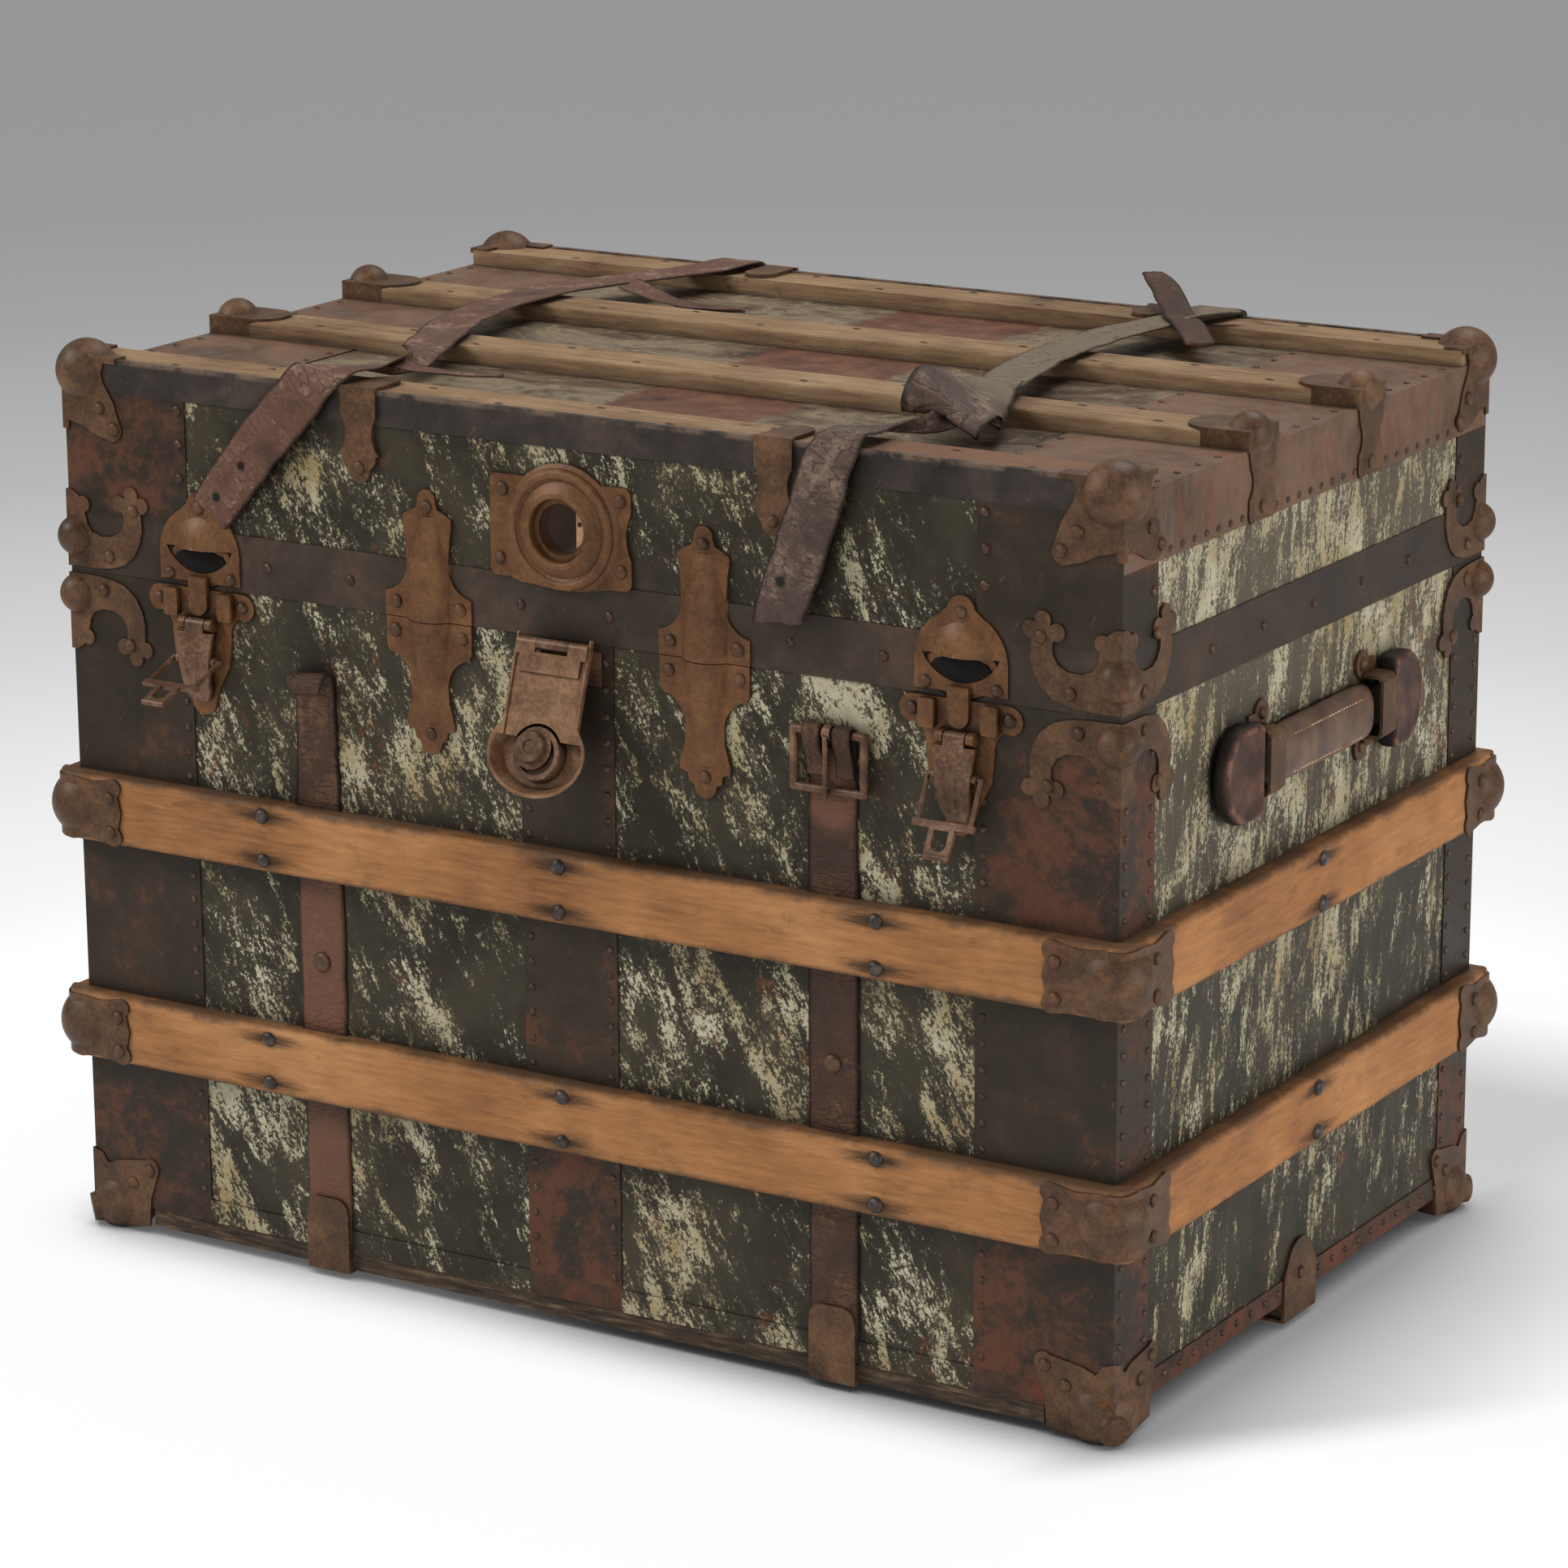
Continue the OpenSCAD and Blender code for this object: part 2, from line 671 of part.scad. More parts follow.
module latch_base(x) {
    on_front(x, part_z - part_gap) linear_extrude(plate_t) polygon(both_halves(base_half));
    for (s = [-1, 1]) {
        on_front(x + s * (pad_in + 6), part_z - 12) linear_extrude(lever_out)
            round_rect(12, 20, 2);
        on_front(x + s * (ear_in + ear_w / 2), part_z - lever_drop) {
            translate([-ear_w / 2, -lever_knuckle_r, 0])
                cube([ear_w, 2 * lever_knuckle_r, lever_out]);
            translate([-ear_w / 2, 0, lever_out]) rotate([0, 90, 0]) cylinder(h = ear_w, r = lever_knuckle_r);
        }
    }
}

module latch_bases() color(cast_iron) stand() for (x = [-latch_x, latch_x]) {
    seat_on_case() difference() {
        latch_base(x);
        lever_pin_bore(x, lever_pin_r);
    }
    lever_pin_bore(x, lever_pin_r);
}

module lever_pin_bore(x, r) {
    on_front(x, part_z - lever_drop) translate([-ear_in - ear_w, 0, lever_out]) rotate([0, 90, 0])
        cylinder(h = 2 * (ear_in + ear_w), r = r);
}

// Keepers on the lid: arched plate, hood over a slot and a tongue over the parting line
lip_z = 28.5;
slot_bottom = 10;
slot_r = 33;

module latch_keepers() color(cast_iron) stand() for (x = [-latch_x, latch_x]) seat_on_lid() difference() {
    hood_r = 34;
    arch_z = 24;
    top_z0 = 59;
    hood_in = hood_r - hood_out;
    union() {
        on_front(x, part_z) linear_extrude(plate_t) {
            translate([-keeper_hw, 3.5]) square([2 * keeper_hw, 22]);
            intersection() {
                translate([0, arch_z]) circle(keeper_hw);
                translate([-keeper_hw, 3.5]) square(2 * keeper_hw);
            }
            polygon([[-26, 47], [26, 47], [9, top_z0 + 3], [-9, top_z0 + 3]]);
            translate([0, top_z0]) circle(10.5);
        }
        on_front(x, part_z + lip_z) intersection() {
            translate([0, 0, -hood_in]) sphere(hood_r);
            translate([-hood_r, 0, 0]) cube([2 * hood_r, hood_r, hood_r]);
        }
        on_front(x, part_z) translate([0, 0, plate_t + near_gap]) linear_extrude(4) {
            translate([-tongue_hw, -12]) square([2 * tongue_hw, 20]);
            translate([0, -12]) circle(tongue_hw);
        }
        on_front(x, part_z) translate([-tongue_hw, 4, 0]) cube([2 * tongue_hw, 4, plate_t + 1]);
    }
    on_front(x, part_z + lip_z) translate([0, 0, -hood_in]) sphere(hood_r - plate_t);
    on_front(x, part_z) translate([0, 0, -past]) linear_extrude(hood_r) intersection() {
        translate([0, slot_bottom + slot_r]) circle(slot_r);
        translate([-30, 0]) square([60, lip_z]);
    }
}

// Lock plate with its dished ring, and the reach of its lower edge below the lock's centre
plate_low = 42;

module lock_plate() color(cast_iron) stand() difference() {
    seat_on_lid() on_front(0, lock_z) {
        linear_extrude(plate_t) {
            difference() {
                translate([-2, -2]) round_rect(lock_w, lock_h, 6);
                translate([lock_w / 2 + 30, 0]) circle(36);
            }
            polygon([[-50, -36], [-34, -plate_low + 1], [0, -plate_low], [24, -plate_low + 1], [50, -36]]);
        }
        intersection() {
            rotate_extrude() polygon(concat(
                [[lock_hole_r, -root], [ring_r + 2, -root]],
                [[ring_r + 2, plate_t], [ring_r - 1, plate_t + 1.5]],
                arc(ring_r - 5, plate_t + 1.8, 4, 30, 150, 5),
                [[ring_r - 10, plate_t + 2.8], [ring_r - 12, plate_t + 4], [recess_r + 4, ring_out - 0.6]],
                arc(recess_r + 1.5, ring_out - 1.5, 1.5, 70, 180, 4),
                [[recess_r, 4.5], [lock_hole_r, 4.5]]
            ));
            translate([-lock_w, -plate_low, -2 * root]) cube([2 * lock_w, 2 * lock_w, 3 * ring_out]);
        }
    }
    on_front(0, lock_z) translate([0, 0, -root]) cylinder(h = ring_out + 2 * root, r = lock_hole_r);
}

// Hinge of the hasp: a leaf on the case with the middle knuckle
hasp_z = part_z - hasp_drop;
knuckle_side = 0.4;
mid_knuckle_w = 26;
hasp_barrel_w = 58;
flange_t = 1.4;
flange_past = 7;

module hasp_leaf() color(steel) stand() seat_on_case() difference() {
    union() {
        on_front(0, hasp_z) {
            translate([-flap_w / 2, -28, 0]) cube([flap_w, 24, plate_t]);
            translate([-mid_knuckle_w / 2, -9, 0]) cube([mid_knuckle_w, 5.5, hasp_out - 2]);
            translate([-mid_knuckle_w / 2, -9, hasp_out - 2 - plate_t]) cube([mid_knuckle_w, 9, plate_t]);
            translate([-mid_knuckle_w / 2, 0, hasp_out]) rotate([0, 90, 0])
                cylinder(h = mid_knuckle_w, r = hasp_knuckle_r);
        }
    }
    hasp_axis_rod(hasp_pin_r, hasp_barrel_w);
}

module hasp_axis_rod(r, w) {
    on_front(0, hasp_z) translate([-w / 2, 0, hasp_out]) rotate([0, 90, 0]) cylinder(h = w, r = r);
}

module hasp_pin() color(steel) stand() hasp_axis_rod(hasp_pin_r, hasp_barrel_w);

// The hasp hangs from its hinge: y down the flap is negative, z points out
module hasp_place() on_front(0, hasp_z) translate([0, 0, hasp_out]) rotate([-hasp_lean, 0, 0]) children();

plug_stem_r = 4.5;
boss_r = 12;
boss_off = 4;

function oval(a, b, n) = [for (i = [0:n - 1]) [a * cos(360 * i / n), b * sin(360 * i / n)]];
module oval_slab(a, b, z) translate([0, -cup_v, z]) linear_extrude(0.2) polygon(oval(a, b, 44));

module hasp() color(cast_iron) stand() hasp_place() difference() {
    union() {
        // Flap with turned-up sides
        difference() {
            translate([-flap_w / 2, -cup_v, -1.2]) cube([flap_w, cup_v - 6, 3.4]);
            translate([-flap_w / 2 + 2, -cup_v - past, 1.2]) cube([flap_w - 4, cup_v, 4]);
        }
        for (x = [-flap_w / 2, flap_w / 2 - flange_t]) translate([x, -cup_v, -1.2])
            cube([flange_t, cup_v + flange_past, 3.4]);
        hull() {
            oval_slab(cup_a, cup_b, 2.2);
            oval_slab(cup_a - 6, cup_b - 6, -cup_depth);
        }
        for (x = [-hasp_barrel_w / 2, mid_knuckle_w / 2 + knuckle_side]) translate([x, 0, 0]) {
            w = (hasp_barrel_w - mid_knuckle_w) / 2 - knuckle_side;
            rotate([0, 90, 0]) cylinder(h = w, r = hasp_knuckle_r);
            translate([0, -8, 1.2]) cube([w, 8, 2]);
        }
        translate([-hasp_barrel_w / 2 + 4, -20, 1.1]) cube([hasp_barrel_w - 8, 14, 2.1]);
    }
    // The cup is open below, and the flap runs in level above the plug
    difference() {
        hull() {
            oval_slab(cup_a - 2.5, cup_b - 2.5, 2.3);
            oval_slab(cup_a - 8, cup_b - 8, -cup_depth + 2.2);
        }
        translate([-cup_a, -cup_v + plug_r / 2, -2 * cup_depth]) cube([2 * cup_a, 2 * cup_b, 3 * cup_depth]);
    }
    translate([0, -cup_v, -cup_depth + 2.2]) cylinder(h = 2 * cup_depth, r = plug_r + 0.8);
    translate([-flap_w / 2 + 2, -cup_v + plug_r / 2, 1.2]) cube([flap_w - 4, cup_b, 4]);
    translate([-hasp_barrel_w, 0, 0]) rotate([0, 90, 0])
        cylinder(h = 2 * hasp_barrel_w, r = hasp_pin_r + turn_gap);
    translate([0, -cup_v, -2 * cup_depth]) cylinder(h = 2 * cup_depth, r = plug_stem_r + turn_gap);
}

// Turning plug in the cup, with its off-centre boss and crescent slot
module lock_plug() color(cast_iron) stand() hasp_place() translate([0, -cup_v, 0]) {
    floor_z = -cup_depth + 2.4 + near_gap;
    difference() {
        union() {
            translate([0, 0, floor_z]) cylinder(h = -floor_z + 1.5, r1 = plug_r, r2 = plug_r - 1.5);
            translate([-boss_off, boss_off, 0]) cylinder(h = 5.5, r1 = boss_r, r2 = boss_r - 1.5);
        }
        translate([-boss_off, boss_off, 4.6]) cylinder(h = 2, r = 5);
        difference() {
            translate([0, 0, -1.5]) cylinder(h = 9, r = boss_r + 3);
            translate([-boss_off, boss_off, -3]) cylinder(h = 12, r = boss_r + 3.5);
        }
    }
    translate([0, 0, -cup_depth - 1]) cylinder(h = 4, r = plug_stem_r);
    translate([0, 0, -cup_depth - near_gap - 2]) cylinder(h = 2, r = 2 * plug_stem_r);
}

// Latch levers: an arched, fluted plate on its pin
module lever_place(x) on_front(x, part_z - lever_drop) translate([0, 0, lever_out]) children();
bail_rel = bail_out - lever_out;

module lever(x) color(cast_iron) stand() lever_place(x) difference() {
    arch_r = 100;
    arch_top = 6;
    crown = 22;
    union() {
        intersection() {
            difference() {
                translate([-lever_w, -crown, arch_top - arch_r]) rotate([0, 90, 0])
                    cylinder(h = 2 * lever_w, r = arch_r, $fn = 180);
                translate([-2 * lever_w, -crown, arch_top - arch_r]) rotate([0, 90, 0])
                    cylinder(h = 4 * lever_w, r = arch_r - 3, $fn = 180);
            }
            translate([0, 0, -lever_out]) linear_extrude(lever_out + 2 * arch_top) polygon([
                [-lever_w / 2, -lever_knuckle_r - 0.6], [lever_w / 2, -lever_knuckle_r - 0.6],
                [lever_w / 2 - 2, -16], [lever_tip_w / 2 + 2, -lever_l + 8],
                [lever_tip_w / 2 - 2, -lever_l], [-lever_tip_w / 2 + 2, -lever_l],
                [-lever_tip_w / 2 - 2, -lever_l + 8], [-lever_w / 2 + 2, -16]
            ]);
        }
        translate([-8, 0, 0]) rotate([0, 90, 0]) cylinder(h = 16, r = lever_knuckle_r);
        translate([-8, -8, 1.6]) cube([16, 8, 2.9]);
        for (s = [-1, 1]) translate([s * 13.6, -bail_drop, bail_rel]) rotate([0, 90, 0])
            translate([0, 0, -3.4]) cylinder(h = 6.8, r = 3);
    }
    translate([-10, 0, 0]) rotate([0, 90, 0]) cylinder(h = 20, r = lever_pin_r + turn_gap);
    for (s = [-1, 1]) {
        translate([s * 13.6 - 4, -bail_drop, bail_rel]) rotate([0, 90, 0])
            cylinder(h = 8, r = bail_wire_r + turn_gap);
        translate([s * 5, -20, 10.2]) rotate([97, 0, -s * 3]) cylinder(h = 42, r = 5);
    }
}

module latch_lever_left() lever(-latch_x);
module latch_lever_right() lever(latch_x);

// Bails: wire arms into the lever's sides, a cross bar and a small end loop
module bail(x, lean) color(cast_iron) stand() lever_place(x)
    translate([0, -bail_drop, bail_rel]) rotate([-lean, 0, 0]) {
        for (s = [-1, 1]) {
            translate([s * bail_hw, 0, 0]) rotate([90, 0, 0]) cylinder(h = bail_bar, r = bail_wire_r + 0.2);
            translate([s > 0 ? 11 : -bail_hw - 1.2, 0, 0]) rotate([0, 90, 0])
                cylinder(h = bail_hw + 1.2 - 11, r = bail_wire_r);
        }
        translate([-bail_hw - 3.5, -bail_bar - 3, -1.5]) cube([2 * bail_hw + 7, 5, 3]);
        translate([0, -bail_l, -1.5]) difference() {
            translate([-9.5, 0, 0]) cube([19, bail_l - bail_bar, 3]);
            translate([0, 11, -past]) cylinder(h = 5, r = 5.8);
            translate([-5.8, 11, -past]) cube([11.6, 9, 5]);
        }
        translate([-9.5, -bail_l + 1.7, 0]) rotate([0, 90, 0]) cylinder(h = 19, r = 2.2);
    }

module latch_bail_left() bail(-latch_x, left_bail_lean);
module latch_bail_right() bail(latch_x, right_bail_lean);

// Leather straps on the case
module front_straps() color(leather) stand() difference() {
    union() {
        translate([-strap_x - strap_w / 2, -half_w - strap_t, foot_h])
            cube([strap_w, strap_t, left_strap_top - foot_h]);
        translate([strap_x - strap_w / 2, -half_w - strap_t, foot_h])
            cube([strap_w, strap_t, buckle_z - foot_h]);
        on_front(strap_x, buckle_z) translate([-strap_w / 2, 0, buckle_out]) rotate([0, 90, 0])
            cylinder(h = strap_w, r = buckle_out - near_gap);
    }
    case_block();
    on_front(strap_x, buckle_z) {
        translate([-strap_w, 0, buckle_out]) rotate([0, 90, 0])
            cylinder(h = 2 * strap_w, r = buckle_bar_r + turn_gap);
        translate([-prong_w / 2 - 1, -2 * buckle_bar_r - 3, strap_t])
            cube([prong_w + 2, 4 * buckle_bar_r + 8, 20]);
        translate([-prong_w / 2 - 1, -2 * buckle_bar_r, -past]) cube([prong_w + 2, 4 * buckle_bar_r + 4, 20]);
    }
}

module back_straps() color(leather) stand() mirror([0, 1, 0]) difference() {
    for (x = [-strap_x, strap_x])
        translate([x - strap_w / 2, -half_w - strap_t, foot_h])
            cube([strap_w, strap_t, part_z - 24 - foot_h]);
    case_block();
}

// Buckle: a round-bar frame hanging from its top bar, and a prong on the same bar
module buckle_place() on_front(strap_x, buckle_z) translate([0, 0, buckle_out]) children();

module bar_between(a, b, r) {
    d = b - a;
    translate([a[0], a[1], 0]) rotate([0, 0, atan2(d[1], d[0])]) rotate([0, 90, 0])
        cylinder(h = norm(d), r = r);
}

module buckle_frame() color(steel) stand() buckle_place() {
    w = buckle_w / 2 - buckle_bar_r;
    h = buckle_h - 2 * buckle_bar_r;
    corners = [[-w, 0], [w, 0], [w, -h], [-w, -h]];
    for (i = [0:3]) {
        bar_between(corners[i], corners[(i + 1) % 4], buckle_bar_r);
        translate([corners[i][0], corners[i][1], 0]) sphere(buckle_bar_r);
    }
}

prong_r = 1.8;
module buckle_prong() color(steel) stand() buckle_place() {
    lift = buckle_bar_r + prong_r + near_gap;
    difference() {
        translate([-prong_w / 2, 0, 0]) rotate([0, 90, 0]) cylinder(h = prong_w, r = buckle_bar_r + 2.2);
        translate([-prong_w, 0, 0]) rotate([0, 90, 0]) cylinder(h = 2 * prong_w, r = buckle_bar_r + turn_gap);
    }
    translate([0, -1.5, lift]) rotate([90, 0, 0]) cylinder(h = buckle_h - 3, r = prong_r);
}

// Handle loops: riveted lobes and a bridge over the handle's neck
loop_z = 46;
module handle_loop() {
    on_end(0, handle_z) {
        translate([0, 0, 0]) linear_extrude(plate_t) {
            translate([-9, 30]) circle(10);
            translate([-9, -30]) circle(10);
            translate([-loop_w / 2, 19]) square([loop_w, 13]);
            translate([-loop_w / 2, -32]) square([loop_w, 13]);
        }
        translate([-loop_w / 2, 0, 0]) rotate([90, 0, 90]) linear_extrude(loop_w) difference() {
            translate([-loop_z / 2, -root]) square([loop_z, loop_out + root - 4]);
            translate([-loop_z / 2 + plate_t, -2 * root])
                square([loop_z - 2 * plate_t, loop_out - plate_t + 2 * root]);
        }
        translate([-loop_w / 2, 0, 0]) rotate([90, 0, 90]) linear_extrude(loop_w) polygon([
            [-loop_z / 2, loop_out - 4.1], [-loop_z / 2 + plate_t, loop_out - 4.1],
            [-loop_z / 2 + 5, loop_out - plate_t], [loop_z / 2 - 5, loop_out - plate_t],
            [loop_z / 2 - plate_t, loop_out - 4.1], [loop_z / 2, loop_out - 4.1],
            [loop_z / 2 - 4, loop_out], [-loop_z / 2 + 4, loop_out]
        ]);
    }
}

module handle_loops() color(cast_iron) stand() both_ends() seat_on_case() both_sides()
    translate([0, -loop_y, 0]) mirror([0, 1, 0]) handle_loop();

// Leather handles: grip between the loops, neck through them, round ends outside
module handle() {
    end_l = handle_l / 2 - loop_y - loop_w / 2 - 5;
    grip_l = 2 * loop_y - loop_w - 3;
    end_r = handle_end_h / 2;
    drop = loop_z / 2 - plate_t - neck_h / 2 - near_gap;
    on_end(0, handle_z - drop) {
        translate([-handle_l / 2 + end_l / 2, -neck_h / 2, handle_gap])
            cube([handle_l - end_l, neck_h, neck_t]);
        translate([-grip_l / 2, 0, handle_gap]) rotate([90, 0, 90]) linear_extrude(grip_l)
            translate([0, grip_t / 2]) round_rect(grip_h, grip_t, 5);
        for (s = [0, 1]) mirror([s, 0, 0]) translate([handle_l / 2 - end_l, 0, handle_gap])
            linear_extrude(grip_t - 2) intersection() {
                translate([end_l - end_r * 1.06, 0]) circle(end_r * 1.06);
                translate([0, -end_r]) square([end_l, 2 * end_r]);
            }
    }
}

module handle_right() color(leather) stand() handle();
module handle_left() color(leather) stand() mirror([1, 0, 0]) handle();

// Rear hinges: three knuckles on one pin, the middle one on the lid
hinge_places = [-hinge_x, 0, hinge_x];
lid_knuckle_w = 20;

module hinge_axis_rod(x, r, w) {
    on_back(x, part_z) translate([-w / 2, 0, hinge_out]) rotate([0, 90, 0]) cylinder(h = w, r = r);
}

module knuckle(x, x0, w, up) {
    on_back(x, part_z) {
        translate([x0, 0, hinge_out]) rotate([0, 90, 0]) cylinder(h = w, r = hinge_knuckle_r);
        translate([x0, up > 0 ? near_gap : -hinge_knuckle_r, 0])
            cube([w, hinge_knuckle_r - near_gap, hinge_out]);
    }
}

module hinge_case_leaves() color(cast_iron) stand() for (x = hinge_places) seat_on_case() difference() {
    union() {
        on_back(x, part_z) translate([0, -part_gap - hinge_leaf_l, 0]) linear_extrude(plate_t) {
            translate([-hinge_leaf_w / 2, 20]) square([hinge_leaf_w, hinge_leaf_l - 20]);
            polygon([[-hinge_leaf_w / 2, 20], [hinge_leaf_w / 2, 20], [10, 5], [-10, 5]]);
            translate([0, 8]) circle(10);
        }
        for (s = [-1, 1]) knuckle(x, s > 0 ? lid_knuckle_w / 2 + knuckle_side : -hinge_leaf_w / 2,
            (hinge_leaf_w - lid_knuckle_w) / 2 - knuckle_side, -1);
    }
    hinge_axis_rod(x, hinge_pin_r, 2 * hinge_leaf_w);
}

module hinge_lid_leaves() color(cast_iron) stand() for (x = hinge_places) difference() {
    seat_on_lid() {
        on_back(x, part_z) linear_extrude(plate_t) {
            translate([-hinge_leaf_w / 2, near_gap]) square([hinge_leaf_w, hinge_leaf_l - 20]);
            polygon([[-hinge_leaf_w / 2, hinge_leaf_l - 20], [hinge_leaf_w / 2, hinge_leaf_l - 20],
                [10, hinge_leaf_l - 5], [-10, hinge_leaf_l - 5]]);
            translate([0, hinge_leaf_l - 8]) circle(10);
        }
        knuckle(x, -lid_knuckle_w / 2, lid_knuckle_w, 1);
    }
    hinge_axis_rod(x, hinge_pin_r + turn_gap, 2 * hinge_leaf_w);
}

module hinge_pins() color(steel) stand()
    for (x = hinge_places) hinge_axis_rod(x, hinge_pin_r, hinge_leaf_w + 4);

// Lid box
module lid_long_rails() color(board_wood) stand() both_sides() difference() {
    translate([-half_l + cover_t, -half_w + cover_t, part_z])
        cube([trunk_l - 2 * cover_t, board_t, top_z - skin_t - part_z]);
    lock_pocket();
}

// Pocket of the lock in the front rail, behind the hole of its plate
module lock_pocket() on_front(0, lock_z) translate([0, 0, -board_t + 2])
    cylinder(h = 2 * board_t, r = lock_hole_r);

module lid_end_rails() color(board_wood) stand() both_ends()
    translate([half_l - skin_t, -half_w + skin_t, part_z])
        cube([board_t, trunk_w - 2 * skin_t, top_z - skin_t - part_z]);

module lid_top_board() color(board_wood) stand()
    translate([-half_l + cover_t, -half_w + cover_t, top_z - skin_t])
        cube([trunk_l - 2 * cover_t, trunk_w - 2 * cover_t, board_t]);

module lid_lining() color(paper) stand() difference() {
    translate([-half_l + skin_t, -half_w + skin_t, part_z])
        cube([trunk_l - 2 * skin_t, trunk_w - 2 * skin_t, top_z - skin_t - part_z]);
    translate([-half_l + skin_t + lining_t, -half_w + skin_t + lining_t, part_z - past])
        cube([trunk_l - 2 * skin_t - 2 * lining_t, trunk_w - 2 * skin_t - 2 * lining_t,
            top_z - skin_t - lining_t - part_z + past]);
}

module lid_cover() color(sheet) stand() difference() {
    translate([-half_l, -half_w, part_z]) cube([trunk_l, trunk_w, top_z - part_z]);
    translate([-half_l + cover_t, -half_w + cover_t, part_z - past])
        cube([trunk_l - 2 * cover_t, trunk_w - 2 * cover_t, top_z - cover_t - part_z + past]);
    lock_pocket();
}

module lid_bands() color(band_iron) stand() lid_band_shape();
module lid_closing_band() color(band_iron) stand() closing_band_shape();
module lid_end_sheets() color(red_iron) stand() end_sheet_shape();
module lid_edge_angles() color(band_iron) stand() edge_angle_shape();

module top_slat(y, l) {
    translate([-l / 2, y, top_z]) rotate([90, 0, 90]) linear_extrude(l)
        bar_profile(top_slat_w, top_slat_t, top_slat_r);
}

module top_slats_outer() color(top_wood) stand() both_sides() difference() {
    translate([-half_l, -half_w, top_z]) cube([trunk_l, top_slat_w, top_slat_t]);
    end_sheet_shape();
}

module top_slats_inner() color(top_wood) stand() both_sides() difference() {
    top_slat(-inner_slat_y, trunk_l);
    end_sheet_shape();
}

// Lid corner: dome, two lobes down the faces and tabs on top
module lid_lobe() {
    tip = 8.5;
    rib = 6;
    linear_extrude(plate_t) polygon(concat(
        [[-plate_t, 0], [-plate_t, -lid_lobe_h + rib], [2.5, -lid_lobe_h + rib], [3, -lid_lobe_h + 12.5]],
        [[16, -lid_lobe_h + 9.5], [28, -lid_lobe_h + 3.5]],
        arc(lid_lobe_l - tip, -lid_lobe_h + tip, tip, 240, 385, 8),
        [[43.5, -lid_lobe_h / 2], [35, -16], [33.5, -9], [37, 0]]
    ));
}

module lid_corners() color(cast_iron) stand() both_sides() both_ends() seat_on_lid() {
    on_corner(slat_top) lid_lobe();
    translate([half_l - dome_in, -half_w + dome_in, slat_top - dome_in]) sphere(dome_r);
    translate([half_l - lid_lobe_l + 4, -half_w - plate_t, slat_top - clamp_t])
        cube([lid_lobe_l - 4 + plate_t, 14, 2 * clamp_t]);
    translate([half_l - 14, -half_w - plate_t, slat_top - clamp_t])
        cube([14 + plate_t, top_slat_w + plate_t, 2 * clamp_t]);
}

// Clamps over the ends of the inner top slats
module top_slat_clamps() color(cast_iron) stand() both_sides() both_ends() difference() {
    cap_l = 30;
    cap_hw = 22;
    union() {
        on_end(-inner_slat_y, slat_top) linear_extrude(plate_t) polygon(both_halves(concat(
            [[0, -61], [10, -61]],
            arc(12, -55, 8, -70, 20, 5),
            arc(29, -34, 15, 230, 140, 6),
            [[20, -14], [22, -6], [22, clamp_t]]
        )));
        translate([half_l - cap_l, -inner_slat_y - cap_hw, top_z])
            cube([cap_l + plate_t, 2 * cap_hw, top_slat_t + clamp_t]);
        translate([half_l - 8, -inner_slat_y, slat_top - 4]) sphere(16);
        translate([half_l - cap_l, -inner_slat_y, top_z]) cylinder(h = top_slat_t + clamp_t, r = cap_hw);
    }
    lid_block();
    translate([-half_l, -inner_slat_y - top_slat_w / 2, top_z]) cube([trunk_l, top_slat_w, top_slat_t]);
}

// Small clamps over the lid's long edges
edge_clamp_x = 170;
edge_clamp_hw = 13;
module lid_edge_clamps() color(cast_iron) stand() both_sides() seat_on_lid()
    for (x = [-edge_clamp_x, edge_clamp_x]) {
    on_front(x, slat_top) linear_extrude(plate_t + band_t) polygon(both_halves(concat(
        arc(0, -56, 9, -90, 0, 5),
        [[14, -50], [14, -46]],
        arc(32, -30, 21, 225, 145, 6),
        [[15, -8], [15, clamp_t + band_t]]
    )));
    translate([x - edge_clamp_hw, -half_w - plate_t - band_t, slat_top - clamp_t])
        cube([2 * edge_clamp_hw, 30, 2 * clamp_t + band_t]);
    translate([x, -half_w - plate_t + 29, slat_top - clamp_t])
        cylinder(h = 2 * clamp_t + band_t, r = edge_clamp_hw);
}

// Loose straps of the lid: rings of four points along a smooth line
// Each stop is x, y, height above the slat tops, the direction across the strap, and half its width
front_y = -half_w - 3;
left_route = [
    [-301, front_y - 9, -103.4, 0.77, 0, -0.64, 20],
    [-278, front_y - 9, -76.4, 0.77, 0, -0.64, 20],
    [-245, front_y - 9, -37.4, 0.79, 0, -0.61, 20],
    [-219, front_y - 7, -9.4, 0.85, 0, -0.52, 20],
    [-207, front_y - 1, 5.6, 0.96, 0.1, -0.25, 20],
    [-201, front_y + 16, 10.6, 1, 0.1, 0, 19],
    [-195, front_y + 45, 8.2, 1, 0.15, 0.1, 19],
    [-189, front_y + 70, 6.6, 0.8, 0.3, 0.5, 15],
    [-189, front_y + 88, 4.6, 0.1, 0.2, 1, 11],
    [-194, front_y + 106, 4.6, -0.8, 0, 0.6, 13],
    [-208, front_y + 135, 3.6, -1, -0.3, 0.1, 18],
    [-228, front_y + 180, 3, -0.95, -0.4, 0, 20],
    [-252, front_y + 243, 3, -0.97, -0.25, 0, 20],
    [-266, front_y + 320, 3, -1, 0, 0, 20],
    [-262, front_y + 400, 3, -1, 0.2, 0, 20],
    [-236, front_y + 460, 3, -0.95, 0.3, 0, 20],
    [-214, front_y + 520, 3, -0.98, 0.25, 0, 20],
    [-206, front_y + 552, 4.2, -1, 0, 0, 20],
    [-206, half_w + 6, 0.1, -1, 0, 0, 20],
    [-206, half_w + 5, -24.4, -1, 0, 0, 20],
    [-206, half_w + 5, -64.4, -1, 0, 0, 20]
];
